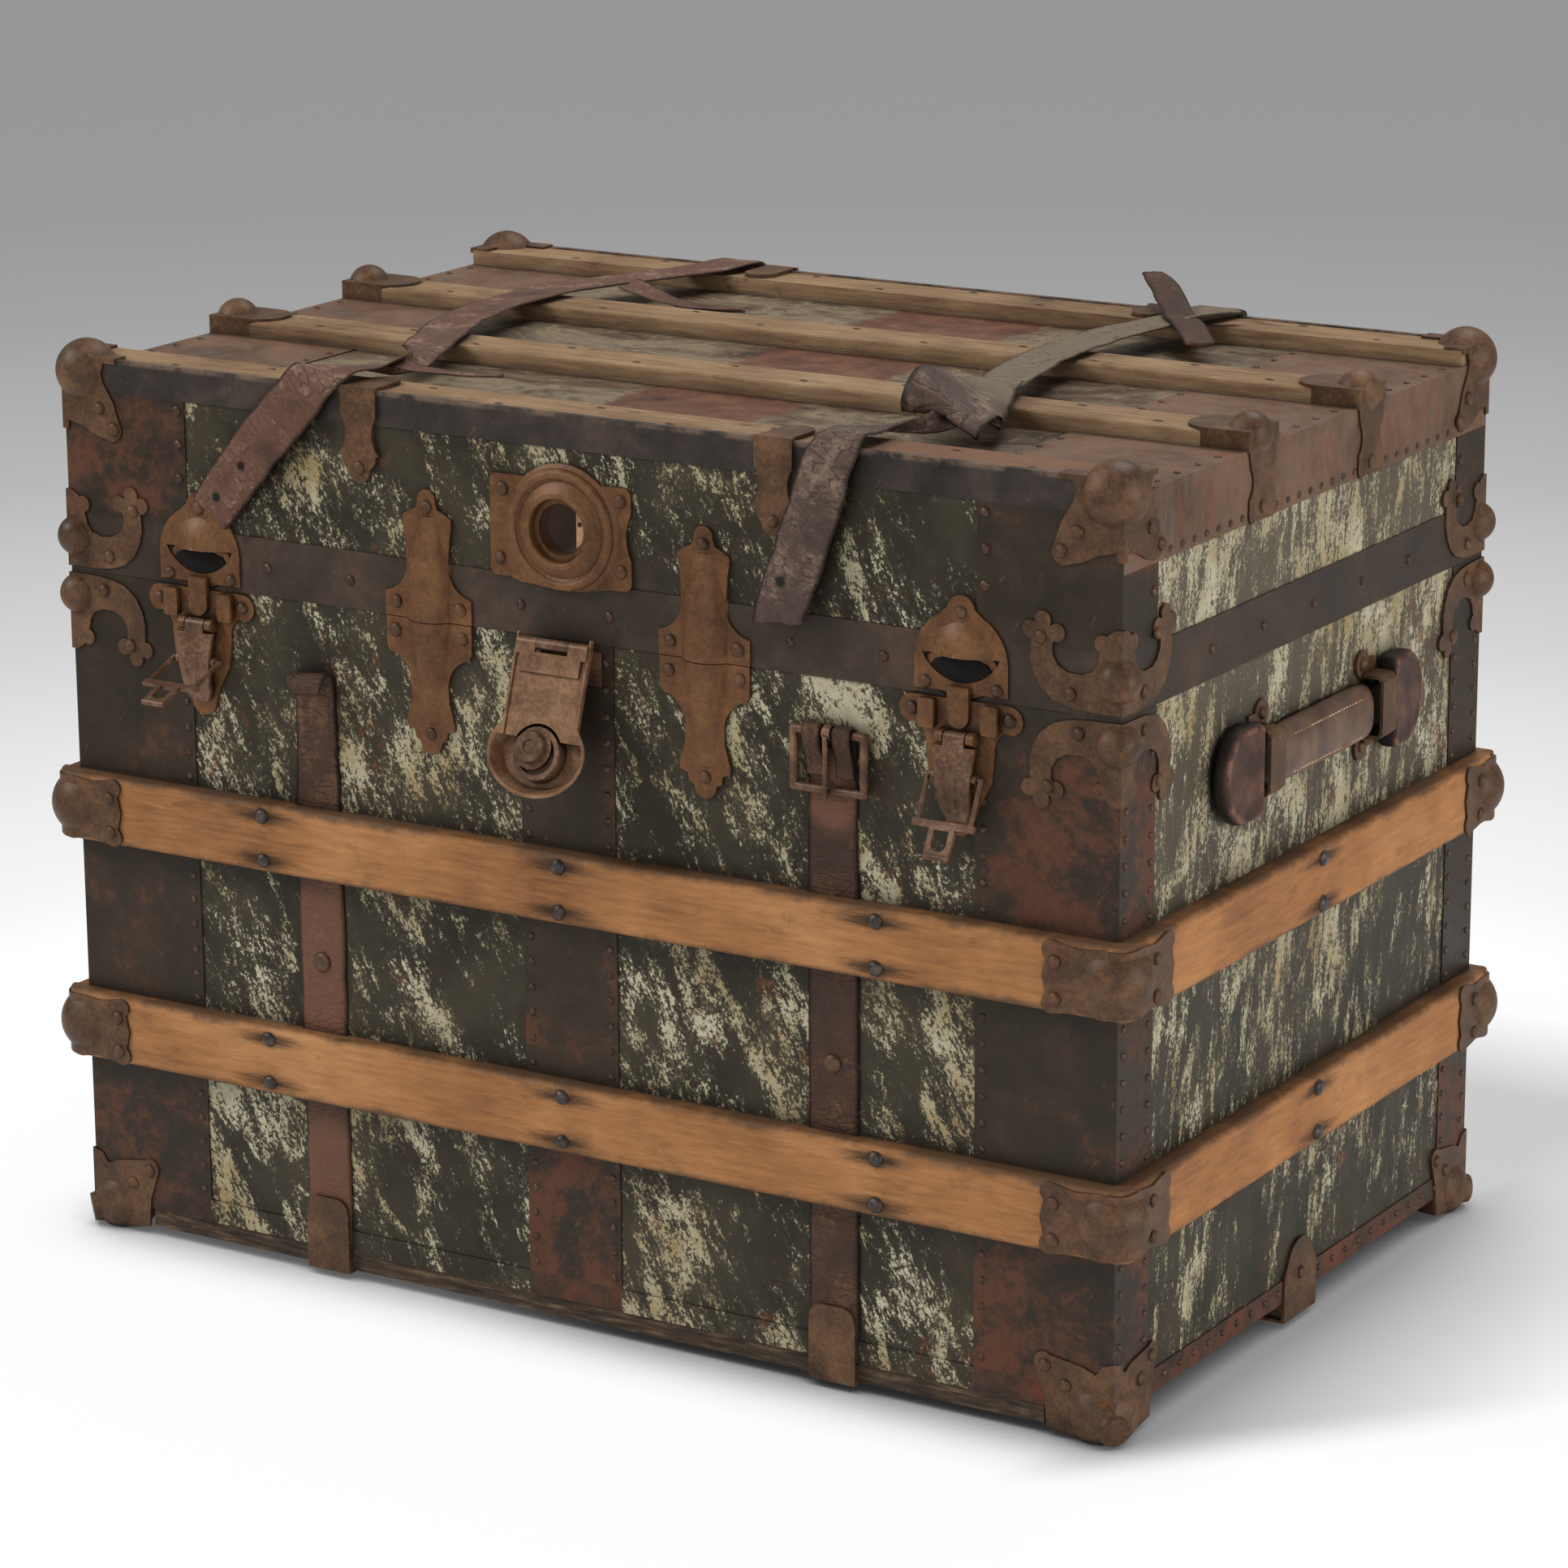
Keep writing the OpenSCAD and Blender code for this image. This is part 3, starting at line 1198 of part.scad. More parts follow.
right_route = [
    [178, front_y - 11, -123.4, 0.95, 0, -0.32, 20],
    [186, front_y - 13, -101.4, 0.95, 0, -0.33, 20],
    [199, front_y - 13, -66.4, 0.94, 0, -0.34, 20],
    [211, front_y - 10, -27.4, 0.96, 0, -0.25, 20],
    [217, front_y - 5, -3.4, 0.99, 0, -0.1, 20],
    [219, front_y + 8, 9.6, 1, -0.1, 0, 19],
    [221, front_y + 32, 8.6, 1, -0.15, 0, 19],
    [227, front_y + 62, 5.6, 0.9, -0.2, 0.4, 14],
    [235, front_y + 84, 3.6, 0.2, -0.2, 1, 10],
    [243, front_y + 100, 5.6, -0.5, 0.2, 0.85, 14],
    [245, front_y + 118, 11.6, -0.8, 0.3, 0.55, 20],
    [236, front_y + 150, 9.6, -0.95, 0.1, 0.2, 21],
    [216, front_y + 220, 3.6, -0.97, -0.2, 0, 20],
    [198, front_y + 300, 3, -1, -0.15, 0, 20],
    [190, front_y + 370, 3, -1, 0, 0, 20],
    [193, front_y + 450, 3, -1, 0.1, 0, 20],
    [206, front_y + 510, 3, -0.97, 0.25, 0, 20],
    [214, front_y + 552, 4.2, -1, 0, 0, 20],
    [215, half_w + 6, 0.1, -1, 0, 0, 20],
    [215, half_w + 5, -24.4, -1, 0, 0, 20],
    [215, half_w + 5, -64.4, -1, 0, 0, 20]
];
loop_route = [
    [150, front_y + 578, 23.6, 0.6, 0.75, 0, 9],
    [172, front_y + 556, 17.6, 0.6, 0.75, 0.2, 11],
    [205, front_y + 515, 7.3, 0.7, 0.7, 0, 12],
    [240, front_y + 468, 7.5, 0.75, 0.65, 0, 12],
    [268, front_y + 428, 3.6, 0.8, 0.6, 0, 11]
];

function unit(v) = v / norm(v);
function part3(v, i) = [v[i], v[i + 1], v[i + 2]];
function smooth(a, b, c, d, t) =
    0.5 * (2 * b + (c - a) * t + (2 * a - 5 * b + 4 * c - d) * t * t + (3 * b - a - 3 * c + d) * t * t * t);
function stop_at(route, s) =
    let (n = len(route) - 1, i = min(floor(s), n - 1), t = s - i)
    smooth(route[max(i - 1, 0)], route[i], route[i + 1], route[min(i + 2, n)], t);
function ring_at(route, s, t) =
    let (
        step = 0.05,
        n = len(route) - 1,
        p = stop_at(route, s),
        ahead = part3(stop_at(route, min(s + step, n)), 0) - part3(stop_at(route, max(s - step, 0)), 0),
        along = unit(ahead),
        out = unit(cross(along, part3(p, 3))),
        side = cross(out, along),
        c = part3(p, 0) + [0, 0, slat_top],
        w = p[6] * side,
        h = t / 2 * out
    )
    [c - w - h, c + w - h, c + w + h, c - w + h];

module ribbon(route, t, per_stop) {
    n = (len(route) - 1) * per_stop;
    points = [for (i = [0:n]) each ring_at(route, i / per_stop, t)];
    sides = [for (i = [0:n - 1], k = [0:3])
        let (a = 4 * i + k, b = 4 * i + (k + 1) % 4) each [[a, a + 4, b + 4], [a, b + 4, b]]];
    polyhedron(points, concat([[0, 1, 2], [0, 2, 3]], sides,
        [[4 * n + 2, 4 * n + 1, 4 * n], [4 * n + 3, 4 * n + 2, 4 * n]]));
}

module lid_strap_left() color(leather) stand() ribbon(left_route, strap_t, 2);
module lid_strap_right() color(leather) stand() ribbon(right_route, strap_t, 2);
module strap_loop() color(leather) stand() ribbon(loop_route, strap_t, 3);

// Tray on its cleats
tray_z = part_z - tray_below - tray_h;
tray_l = trunk_l - 2 * (skin_t + lining_t + tray_gap);
tray_w = trunk_w - 2 * (skin_t + lining_t + tray_gap);

module tray_cleats() color(board_wood) stand() translate([0, 0, tray_z - near_gap - cleat_h]) {
    inner_l = half_l - skin_t - lining_t;
    inner_w = half_w - skin_t - lining_t;
    both_sides() translate([-inner_l, -inner_w, 0]) cube([2 * inner_l, cleat_t, cleat_h]);
    both_ends() translate([inner_l - cleat_t, -inner_w + cleat_t, 0])
        cube([cleat_t, 2 * inner_w - 2 * cleat_t, cleat_h]);
}

module tray() color(board_wood) stand() translate([0, 0, tray_z]) difference() {
    translate([-tray_l / 2, -tray_w / 2, 0]) cube([tray_l, tray_w, tray_h]);
    translate([-tray_l / 2 + tray_t, -tray_w / 2 + tray_t, tray_t])
        cube([tray_l - 2 * tray_t, tray_w - 2 * tray_t, tray_h]);
    // Finger slots in the tray's ends
    translate([-tray_l, 0, tray_h - 32]) rotate([90, 0, 90]) linear_extrude(2 * tray_l) round_rect(96, 26, 12);
}

// Partitions of the tray, a hat space on the right and two long spaces on the left
hat_x = 60;
module tray_dividers() color(board_wood) stand() translate([0, 0, tray_z + tray_t]) {
    translate([hat_x, -tray_w / 2 + tray_t, 0]) cube([tray_t, tray_w - 2 * tray_t, tray_h - 2 * tray_t]);
    translate([-tray_l / 2 + tray_t, -tray_t / 2, 0])
        cube([hat_x + tray_l / 2 - tray_t / 2, tray_t, tray_h - 2 * tray_t]);
}

case_front_board();
case_back_board();
case_end_boards();
case_floor();
case_lining();
case_cover();
case_bands();
base_binding();
body_slats_front();
body_slats_back();
body_slats_ends();
bottom_slats();
slat_corner_clamps();
bottom_corners();
bottom_clamps();
case_crescents();
dowel_sockets();
latch_bases();
hasp_leaf();
hasp_pin();
front_straps();
back_straps();
handle_loops();
hinge_case_leaves();
hinge_pins();
tray_cleats();
lid_long_rails();
lid_end_rails();
lid_top_board();
lid_lining();
lid_cover();
lid_bands();
lid_closing_band();
lid_end_sheets();
lid_edge_angles();
top_slats_outer();
top_slats_inner();
lid_corners();
lid_crescents();
top_slat_clamps();
lid_edge_clamps();
lock_plate();
dowel_lugs();
latch_keepers();
hinge_lid_leaves();
lid_strap_left();
lid_strap_right();
strap_loop();
hasp();
lock_plug();
latch_lever_left();
latch_lever_right();
latch_bail_left();
latch_bail_right();
handle_left();
handle_right();
buckle_frame();
buckle_prong();
tray();
tray_dividers();
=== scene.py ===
import math

import bmesh
import bpy
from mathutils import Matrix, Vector, noise
from mathutils.bvhtree import BVHTree


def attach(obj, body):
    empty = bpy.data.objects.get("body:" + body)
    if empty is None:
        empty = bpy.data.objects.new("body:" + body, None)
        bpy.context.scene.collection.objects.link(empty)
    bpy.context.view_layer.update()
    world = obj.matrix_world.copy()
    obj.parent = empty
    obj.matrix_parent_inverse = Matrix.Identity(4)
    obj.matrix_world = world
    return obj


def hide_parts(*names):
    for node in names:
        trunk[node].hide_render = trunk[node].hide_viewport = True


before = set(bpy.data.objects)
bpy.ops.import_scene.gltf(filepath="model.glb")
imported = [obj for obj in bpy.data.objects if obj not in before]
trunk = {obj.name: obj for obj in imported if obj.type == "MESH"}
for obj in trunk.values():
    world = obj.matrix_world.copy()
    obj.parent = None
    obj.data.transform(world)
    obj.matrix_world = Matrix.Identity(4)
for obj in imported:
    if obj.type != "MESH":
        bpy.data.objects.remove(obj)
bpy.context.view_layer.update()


# The photographer's sweep and lamps. White paper greys with distance and carries a painted shadow close to
# the trunk; one broad soft lamp stands high on the left, and others fill the front, the right and the top.
def screen(colour):
    """A colour of three screen values to 255 as the linear one that sockets take; all else stays as it is."""
    if not isinstance(colour, tuple):
        return colour
    shares = [value / 255 for value in colour]
    return (*[c / 12.92 if c < 0.04045 else ((c + 0.055) / 1.055) ** 2.4 for c in shares], 1.0)


def new_object(name, data):
    made = bpy.data.objects.new(name, data)
    bpy.context.scene.collection.objects.link(made)
    return made


class Flow:
    """A socket of a node tree, on which arithmetic adds Math nodes."""

    def __init__(self, tree, socket):
        self.tree, self.socket = tree, socket

    def reckon(self, operation, *values):
        maths = self.tree.nodes.new("ShaderNodeMath")
        maths.operation = operation
        for place, value in zip(maths.inputs, values):
            if isinstance(value, Flow):
                self.tree.links.new(value.socket, place)
            else:
                place.default_value = value
        return Flow(self.tree, maths.outputs[0])

    def __add__(self, other): return self.reckon("ADD", self, other)
    def __radd__(self, other): return self.reckon("ADD", other, self)
    def __sub__(self, other): return self.reckon("SUBTRACT", self, other)
    def __rsub__(self, other): return self.reckon("SUBTRACT", other, self)
    def __mul__(self, other): return self.reckon("MULTIPLY", self, other)
    def __rmul__(self, other): return self.reckon("MULTIPLY", other, self)
    def __truediv__(self, other): return self.reckon("DIVIDE", self, other)
    def __pow__(self, other): return self.reckon("POWER", self, other)
    def __abs__(self): return self.reckon("ABSOLUTE", self)
    def most(self, other): return self.reckon("MAXIMUM", self, other)
    def least(self, other): return self.reckon("MINIMUM", self, other)


class Finish:
    """A procedural material, read from the object's own coordinates in metres."""

    def __init__(self, name, metallic=0.0, specular=0.5):
        self.material = bpy.data.materials.new(name)
        self.material.use_nodes = True
        self.tree = self.material.node_tree
        self.shader = self.tree.nodes["Principled BSDF"]
        self.shader.inputs["Metallic"].default_value = metallic
        self.shader.inputs["Specular IOR Level"].default_value = specular
        self.place = self.add("ShaderNodeTexCoord", {}, {}, "Object")
        self.x, self.y, self.z = self.parts(self.place)

    def add(self, kind, settings, sockets, out=0):
        made = self.tree.nodes.new(kind)
        for name, value in settings.items():
            if name == "stops":
                ramp = made.color_ramp
                for i, (at, colour) in enumerate(value):
                    stop = ramp.elements[i] if i < 2 else ramp.elements.new(at)
                    stop.position = at
                    stop.color = screen(colour) if isinstance(colour, tuple) else (colour, colour, colour, 1)
            else:
                setattr(made, name, value)
        for name, value in sockets.items():
            if isinstance(value, Flow):
                self.tree.links.new(value.socket, made.inputs[name])
            else:
                made.inputs[name].default_value = value
        return Flow(self.tree, made.outputs[out])

    def parts(self, vector):
        return [self.add("ShaderNodeSeparateXYZ", {}, {0: vector}, i) for i in range(3)]

    def noise(self, size, detail, rough, stretch=None, twist=0.0, turn=(0, 0, 0), place=None):
        """Noise in patches of one size, which stretch makes longer along the axes of a turned grid."""
        if stretch:
            place = self.add("ShaderNodeMapping", {"vector_type": "TEXTURE"}, {
                0: self.place, 2: [math.radians(a) for a in turn], 3: stretch})
        return self.add("ShaderNodeTexNoise", {}, {
            "Vector": place or self.place, "Scale": 1 / size, "Detail": detail, "Roughness": rough,
            "Distortion": twist})

    def cells(self, size, feature="F1", place=None):
        return self.add("ShaderNodeTexVoronoi", {"feature": feature}, {
            "Vector": place or self.place, "Scale": 1 / size})

    def run(self):
        """The piece's own UV map: on a strip, u across it from 0 to 1 and v along it in metres."""
        return self.add("ShaderNodeUVMap", {"uv_map": "run"}, {})

    def scaled(self, vector, factors):
        return self.add("ShaderNodeVectorMath", {"operation": "MULTIPLY"}, {0: vector, 1: factors})

    def away(self, spot):
        """Distance to a point."""
        return self.add("ShaderNodeVectorMath", {"operation": "DISTANCE"}, {0: self.place, 1: spot}, "Value")

    def step(self, value, low, high):
        return self.add("ShaderNodeMapRange", {"interpolation_type": "SMOOTHSTEP"}, {
            0: value, 1: low, 2: high})

    def ramp(self, value, stops):
        return self.add("ShaderNodeValToRGB", {"stops": stops}, {0: value})

    def mix(self, amount, under, over):
        return self.add("ShaderNodeMix", {"data_type": "RGBA"}, {
            0: amount, 6: screen(under), 7: screen(over)}, 2)

    def hollows(self, reach):
        """1 in the open and towards 0 where pieces meet."""
        return self.add("ShaderNodeAmbientOcclusion", {"samples": 6}, {"Distance": reach}, "AO")

    def grimed_and_shaded(self, colour, dirt_and_shade, amount, reach, low, high=0.9):
        """A colour darkened where pieces meet: dirt, and painted shade read from ambient occlusion."""
        return self.mix((1 - self.step(self.hollows(reach), low, high)) * amount, colour, dirt_and_shade)

    def around(self, *spots):
        """1 inside any of the balls given as x, y, z, radius, with a soft rim, and 0 away from them."""
        found = 0.0
        for x, y, z, radius in spots:
            inside = 1 - self.step(self.away((x, y, z)), radius * 0.45, radius)
            found = inside if found == 0.0 else found.most(inside)
        return found

    def paint(self, colour, roughness, height=None, depth_shade=0.001):
        sockets = [("Base Color", screen(colour)), ("Roughness", roughness)]
        if height is not None:
            sockets.append(("Normal", self.add("ShaderNodeBump", {}, {
                "Strength": 1.0, "Distance": depth_shade, "Height": height})))
        for name, value in sockets:
            if isinstance(value, Flow):
                self.tree.links.new(value.socket, self.shader.inputs[name])
            else:
                self.shader.inputs[name].default_value = value
        return self

    def on(self, *names):
        for name in names:
            for place in trunk[name].material_slots:
                place.material = self.material
        return self


sight = bpy.data.cameras.new("sight")
sight.lens, sight.sensor_width = 122.588, 36.0
sight.clip_start, sight.clip_end = 0.1, 60.0
viewer = new_object("viewer", sight)
viewer.location = (2.0001, -3.2235, 1.3867)
viewer.rotation_euler = [math.radians(a) for a in (74.6023, 0.2894, 31.5408)]
bpy.context.scene.camera = viewer
bpy.context.scene.view_settings.view_transform = "Standard"

for name, where, size, power in (
        ("key_lamp", (-3.0, -2.2, 3.3), 1.8, 118.0),
        ("front_lamp", (0.9, -4.6, 1.1), 2.2, 44.0),
        ("right_lamp", (4.2, -0.2, 1.2), 2.2, 84.0),
        ("top_lamp", (0.2, 1.3, 3.3), 1.6, 48.0)):
    lamp = bpy.data.lights.new(name, "AREA")
    lamp.shape, lamp.size, lamp.energy = "DISK", size, power
    stand = new_object(name, lamp)
    stand.location = where
    stand.rotation_euler = (Vector((0, 0, 0.3)) - Vector(where)).to_track_quat("-Z", "Y").to_euler()

room = bpy.data.worlds.new("room")
room.use_nodes = True
room.node_tree.nodes["Background"].inputs["Color"].default_value = (1, 0.97, 0.91, 1)
room.node_tree.nodes["Background"].inputs["Strength"].default_value = 0.34
bpy.context.scene.world = room

sweep_mesh = bpy.data.meshes.new("sweep")
sweep_mesh.from_pydata([(-30, -30, 0), (30, -30, 0), (30, 30, 0), (-30, 30, 0)], [], [(0, 1, 2, 3)])
sweep = new_object("sweep", sweep_mesh)
paper = Finish("paper_sweep", specular=0.0)
floor_x, floor_y = paper.x, paper.y
far, farthest = (floor_x * floor_x + floor_y * floor_y) ** 0.5, 8.0
sweep_tone = paper.ramp(far / farthest, [(metres / farthest, (tone, tone, tone)) for metres, tone in (
    (0.95, 255), (1.10, 246), (1.36, 238), (1.64, 227), (1.97, 212), (2.36, 200), (2.76, 185), (3.25, 175),
    (3.85, 163), (4.85, 153), (7.6, 151))])
# Painted shadow on the floor: contact shade from ambient occlusion where the trunk meets it, and a cast
# shadow laid out by position to the right of and behind the trunk.
contact_shade = paper.step(paper.hollows(0.085), 0.12, 0.97)
past_end = paper.step(floor_x, 0.38, 0.45)
past_back = paper.step(floor_y, 0.12, 0.42)
fades_right, fades_back = (1 - paper.add("ShaderNodeMapRange", {}, {0: along, 1: low, 2: high})
                           for along, low, high in ((floor_x, 0.432, 0.680), (floor_y, 0.560, 0.760)))
front_rim = paper.step(floor_y - (floor_x - 0.432) * 1.1, -0.335, -0.235)
from_left = paper.step(floor_x + floor_y * 0.35, 0.10, 0.30)
beside = past_end.most(past_back * from_left) * (1 - past_back * 0.40)
cast_shadow = front_rim * fades_right * fades_back * beside
contact_power = 1.0 + paper.step(floor_x, -0.15, 0.10) * 0.75 - cast_shadow * 1.35
shadowed = (0.10 + 0.90 * contact_shade) ** contact_power * (1 - cast_shadow * 0.66)
near = 1 - paper.step(far, 1.1, 2.2)
black, lamp_share = (0, 0, 0), 0.05
seen_tone = paper.mix(shadowed, black, sweep_tone)
glow = paper.add("ShaderNodeEmission", {}, {"Color": paper.mix(1 - near * lamp_share, black, seen_tone)})
catch = paper.add("ShaderNodeBsdfDiffuse", {}, {"Color": paper.mix(near * lamp_share, black, seen_tone)})
shade = paper.add("ShaderNodeBsdfDiffuse", {}, {"Color": sweep_tone})
camera_ray, glossy_ray, through_ray = (paper.add("ShaderNodeLightPath", {}, {}, "Is %s Ray" % kind)
                                       for kind in ("Camera", "Glossy", "Transmission"))
seen = camera_ray.most(glossy_ray).most(through_ray)
looked_at = paper.add("ShaderNodeAddShader", {}, {0: glow, 1: catch})
whole = paper.add("ShaderNodeMixShader", {}, {0: seen, 1: shade, 2: looked_at})
paper.tree.links.new(whole.socket, paper.tree.nodes["Material Output"].inputs["Surface"])
sweep_mesh.materials.append(paper.material)


# The box: sawn basswood boards, butted and nailed, with the lid's rails cut from the same
# boards. They show at the parting line, in the lock's pocket and inside.
def saw_boards():
    board = Finish("sawn_board", specular=0.3)
    grain = board.noise(0.004, 4, 0.6, (12, 1.3, 1), 0.6)
    broad = board.noise(0.09, 2, 0.5)
    colour = board.ramp(grain * 0.6 + broad * 0.4, (
        (0.25, (118, 88, 60)), (0.5, (166, 132, 94)), (0.75, (188, 156, 116))))
    stained = board.mix(board.step(board.noise(0.14, 4, 0.7), 0.55, 0.75) * 0.6, colour, (92, 66, 46))
    return board.paint(stained, 0.7, grain, 0.0004)


saw_boards().on(
    "case_front_board", "case_back_board", "case_end_boards", "case_floor", "lid_long_rails", "lid_end_rails",
    "lid_top_board", "tray_cleats", "tray", "tray_dividers")


# The lining: cream paper pasted on the boards, printed with a plain small dot and foxed
# brown by damp, with grubby edges where hands and luggage rubbed it.
def print_lining():
    paper = Finish("lining_paper", specular=0.2)
    dots = paper.cells(0.012)
    ground = paper.ramp(paper.noise(0.2, 4, 0.6), (
        (0.3, (206, 190, 156)), (0.55, (224, 210, 178)), (0.75, (190, 166, 124))))
    printed = paper.mix(1 - paper.step(dots, 0.16, 0.2), ground, (150, 138, 120))
    foxed = paper.mix(paper.step(paper.noise(0.02, 5, 0.7), 0.62, 0.72) * 0.7, printed, (140, 102, 62))
    return paper.paint(foxed, 0.85, paper.noise(0.006, 4, 0.6), 0.0003)


print_lining().on("case_lining", "lid_lining")


# The cover: thin sheet iron nailed round the boards, painted olive black and spattered with
# cream and straw-coloured paint in slanting streaks that the years have chipped and rusted.
def spatter_cover():
    sheet = Finish("spattered_sheet", specular=0.2)
    slant = (-16.3, -25.9, 0)
    ends = sheet.step(abs(sheet.x), 0.4312, 0.4317)
    wide = sheet.noise(1.0, 3, 0.6, (0.030, 0.030, 0.105), 0.7, slant)
    streak = sheet.noise(1.0, 3, 0.6, (0.0085, 0.0085, 0.040), 0.6, slant)
    drip = sheet.noise(1.0, 3, 0.6, (0.0085, 0.0085, 0.070), 0.5, (-5, -10, 0))
    bunch = sheet.noise(0.11, 2, 0.5)
    fleck = sheet.noise(1.0, 3, 0.75, (0.0022, 0.0022, 0.0038), turn=slant)
    crackle = sheet.noise(0.0012, 2, 0.6)
    drift = (wide * 0.56 + streak * 0.44) * (1 - ends) + (wide * 0.48 + drip * 0.52) * ends
    thick = (drift - 0.5) * 1.9 + (bunch - 0.5) * 0.7 + ends * ((sheet.z - 0.35) * 0.36 + 0.055)
    thick = thick + sheet.around((-0.28, -0.26, 0.13, 0.20), (0.15, -0.26, 0.60, 0.09)) * 0.06
    thick = thick - sheet.around((0.12, -0.26, 0.06, 0.14)) * 0.08
    cream_mask = sheet.step(thick + (fleck - 0.5) * 1.15 + (crackle - 0.5) * 0.35, 0.115, 0.185)
    haze_mask = sheet.step(thick + (fleck - 0.5) * 0.9, -0.06, 0.20)
    ground = sheet.ramp(sheet.noise(0.07, 5, 0.62), (
        (0.28, (33, 29, 21)), (0.46, (44, 40, 30)), (0.60, (56, 51, 38)), (0.76, (62, 49, 35))))
    brown = sheet.step(sheet.noise(0.045, 5, 0.7), 0.54, 0.74)
    ground = sheet.mix(brown * 0.45, ground, (66, 46, 33))
    haze = sheet.mix(haze_mask * (0.50 + ends * 0.22), ground, (100, 92, 74))
    haze = sheet.mix(ends * sheet.step(sheet.z, 0.20, 0.56) * 0.5, haze, (106, 97, 82))
    cream = sheet.ramp(sheet.noise(0.06, 3, 0.6) * 0.75 + fleck * 0.25, (
        (0.36, (150, 128, 86)), (0.47, (160, 150, 118)), (0.58, (178, 172, 146)), (0.75, (198, 194, 170))))
    painted = sheet.mix(cream_mask * 0.92, haze, cream)
    rust = sheet.step(sheet.noise(0.016, 6, 0.78) + (sheet.noise(0.12, 2, 0.5) - 0.5) * 0.5, 0.62, 0.70)
    rusted = sheet.mix(rust * 0.6, painted, sheet.ramp(fleck, ((0.3, (70, 42, 26)), (0.7, (132, 78, 42)))))
    marble = sheet.noise(0.045, 5, 0.66, (2.0, 1, 1), 1.1)
    worn = sheet.mix(sheet.step(sheet.noise(0.012, 5, 0.75), 0.56, 0.66) * 0.5, sheet.ramp(marble, (
        (0.33, (54, 46, 38)), (0.43, (92, 70, 52)), (0.50, (104, 94, 78)), (0.56, (128, 112, 88)),
        (0.64, (78, 71, 61)), (0.74, (112, 75, 53)))), (158, 136, 104))
    ragged = (sheet.noise(0.03, 5, 0.7) - 0.5) * 0.03
    old_band = 1 - sheet.step(abs(sheet.x - 0.030) + ragged, 0.060, 0.068)
    red_lead = sheet.ramp(sheet.noise(0.05, 6, 0.72), (
        (0.34, (68, 43, 34)), (0.5, (98, 60, 45)), (0.66, (122, 82, 60))))
    top_side = sheet.step(sheet.z, 0.6505, 0.6515)
    topped = sheet.mix(top_side, rusted, sheet.mix(old_band * 0.9, worn, red_lead))
    foot, aside = 1 - sheet.step(sheet.z, 0.0379, 0.0383), abs(sheet.x)
    banded = foot * sheet.step(aside, 0.3245, 0.3255).most(1 - sheet.step(aside, 0.0385, 0.0395))
    footed = sheet.mix(banded, topped, sheet.ramp(sheet.noise(0.05, 5, 0.7), (
        (0.36, (44, 35, 29)), (0.5, (70, 48, 37)), (0.64, (98, 54, 39)))))
    # Darkened where pieces meet, from ambient occlusion: dirt and painted shade.
    grimed_and_shaded = sheet.grimed_and_shaded(footed, (26, 20, 16), 0.75, 0.03, 0.35, 0.92)
    return sheet.paint(grimed_and_shaded, sheet.ramp(cream_mask, ((0.0, 0.50), (1.0, 0.74))),
                       cream_mask * 0.5 + rust * 0.4 + fleck * 0.15, 0.0004)


spatter_cover().on("case_cover", "lid_cover", "base_binding")


# The iron bands: strips of dark lacquered sheet over the box's corners, its middle and the
# closing edge, nailed along both sides. Where damp sat, the lacquer has gone and the iron is red.
def lacquer_bands(name, dark, mid, worn, red, much, *damp, streaky=0.0, rubbed_and_lit_arris=0.0):
    band = Finish(name, specular=0.22)
    cloud = band.noise(0.06, 5, 0.65, None, 0.4)
    fleck = band.noise(0.008, 5, 0.78)
    tone = band.ramp(cloud * 0.8 + fleck * 0.2, ((0.34, dark), (0.5, mid), (0.68, worn)))
    wet = band.around(*damp) * 0.11 if damp else 0.0
    rust = band.step(fleck * 0.35 + cloud * 0.65 + wet, 0.53, 0.68)
    flecked = band.mix(rust * much, tone, band.mix(fleck, red, (102, 62, 44)))
    if streaky:
        runs = band.noise(0.012, 4, 0.7, (1.0, 1.0, 6.0))
        flecked = band.mix(band.step(runs, 0.48, 0.66) * streaky, flecked, (98, 88, 82))
        flecked = band.mix((1 - band.step(runs, 0.36, 0.44)) * streaky, flecked, (112, 60, 42))
    scratch = band.step(band.noise(0.012, 3, 0.8, (0.35, 0.35, 4), turn=(20, 30, 10)), 0.66, 0.7)
    scratched = band.mix(scratch * 0.3, flecked, (118, 96, 76))
    # Darkened where pieces meet, from ambient occlusion: dirt and painted shade.
    grimed_and_shaded = band.grimed_and_shaded(scratched, (22, 16, 12), 0.75, 0.022, 0.35, 0.92)
    if rubbed_and_lit_arris:
        # A pale line along the angle's top edge: worn metal and a painted highlight.
        arris_wear_and_highlight = band.step(band.z, 0.6610, 0.6640) * band.step(band.noise(0.03, 4, 0.7), 0.40, 0.60)
        grimed_and_shaded = band.mix(arris_wear_and_highlight * rubbed_and_lit_arris, grimed_and_shaded, (126, 104, 88))
    return band.paint(grimed_and_shaded, band.ramp(cloud, ((0.3, 0.40), (0.7, 0.64))), fleck * 0.6 + cloud * 0.4, 0.0006)


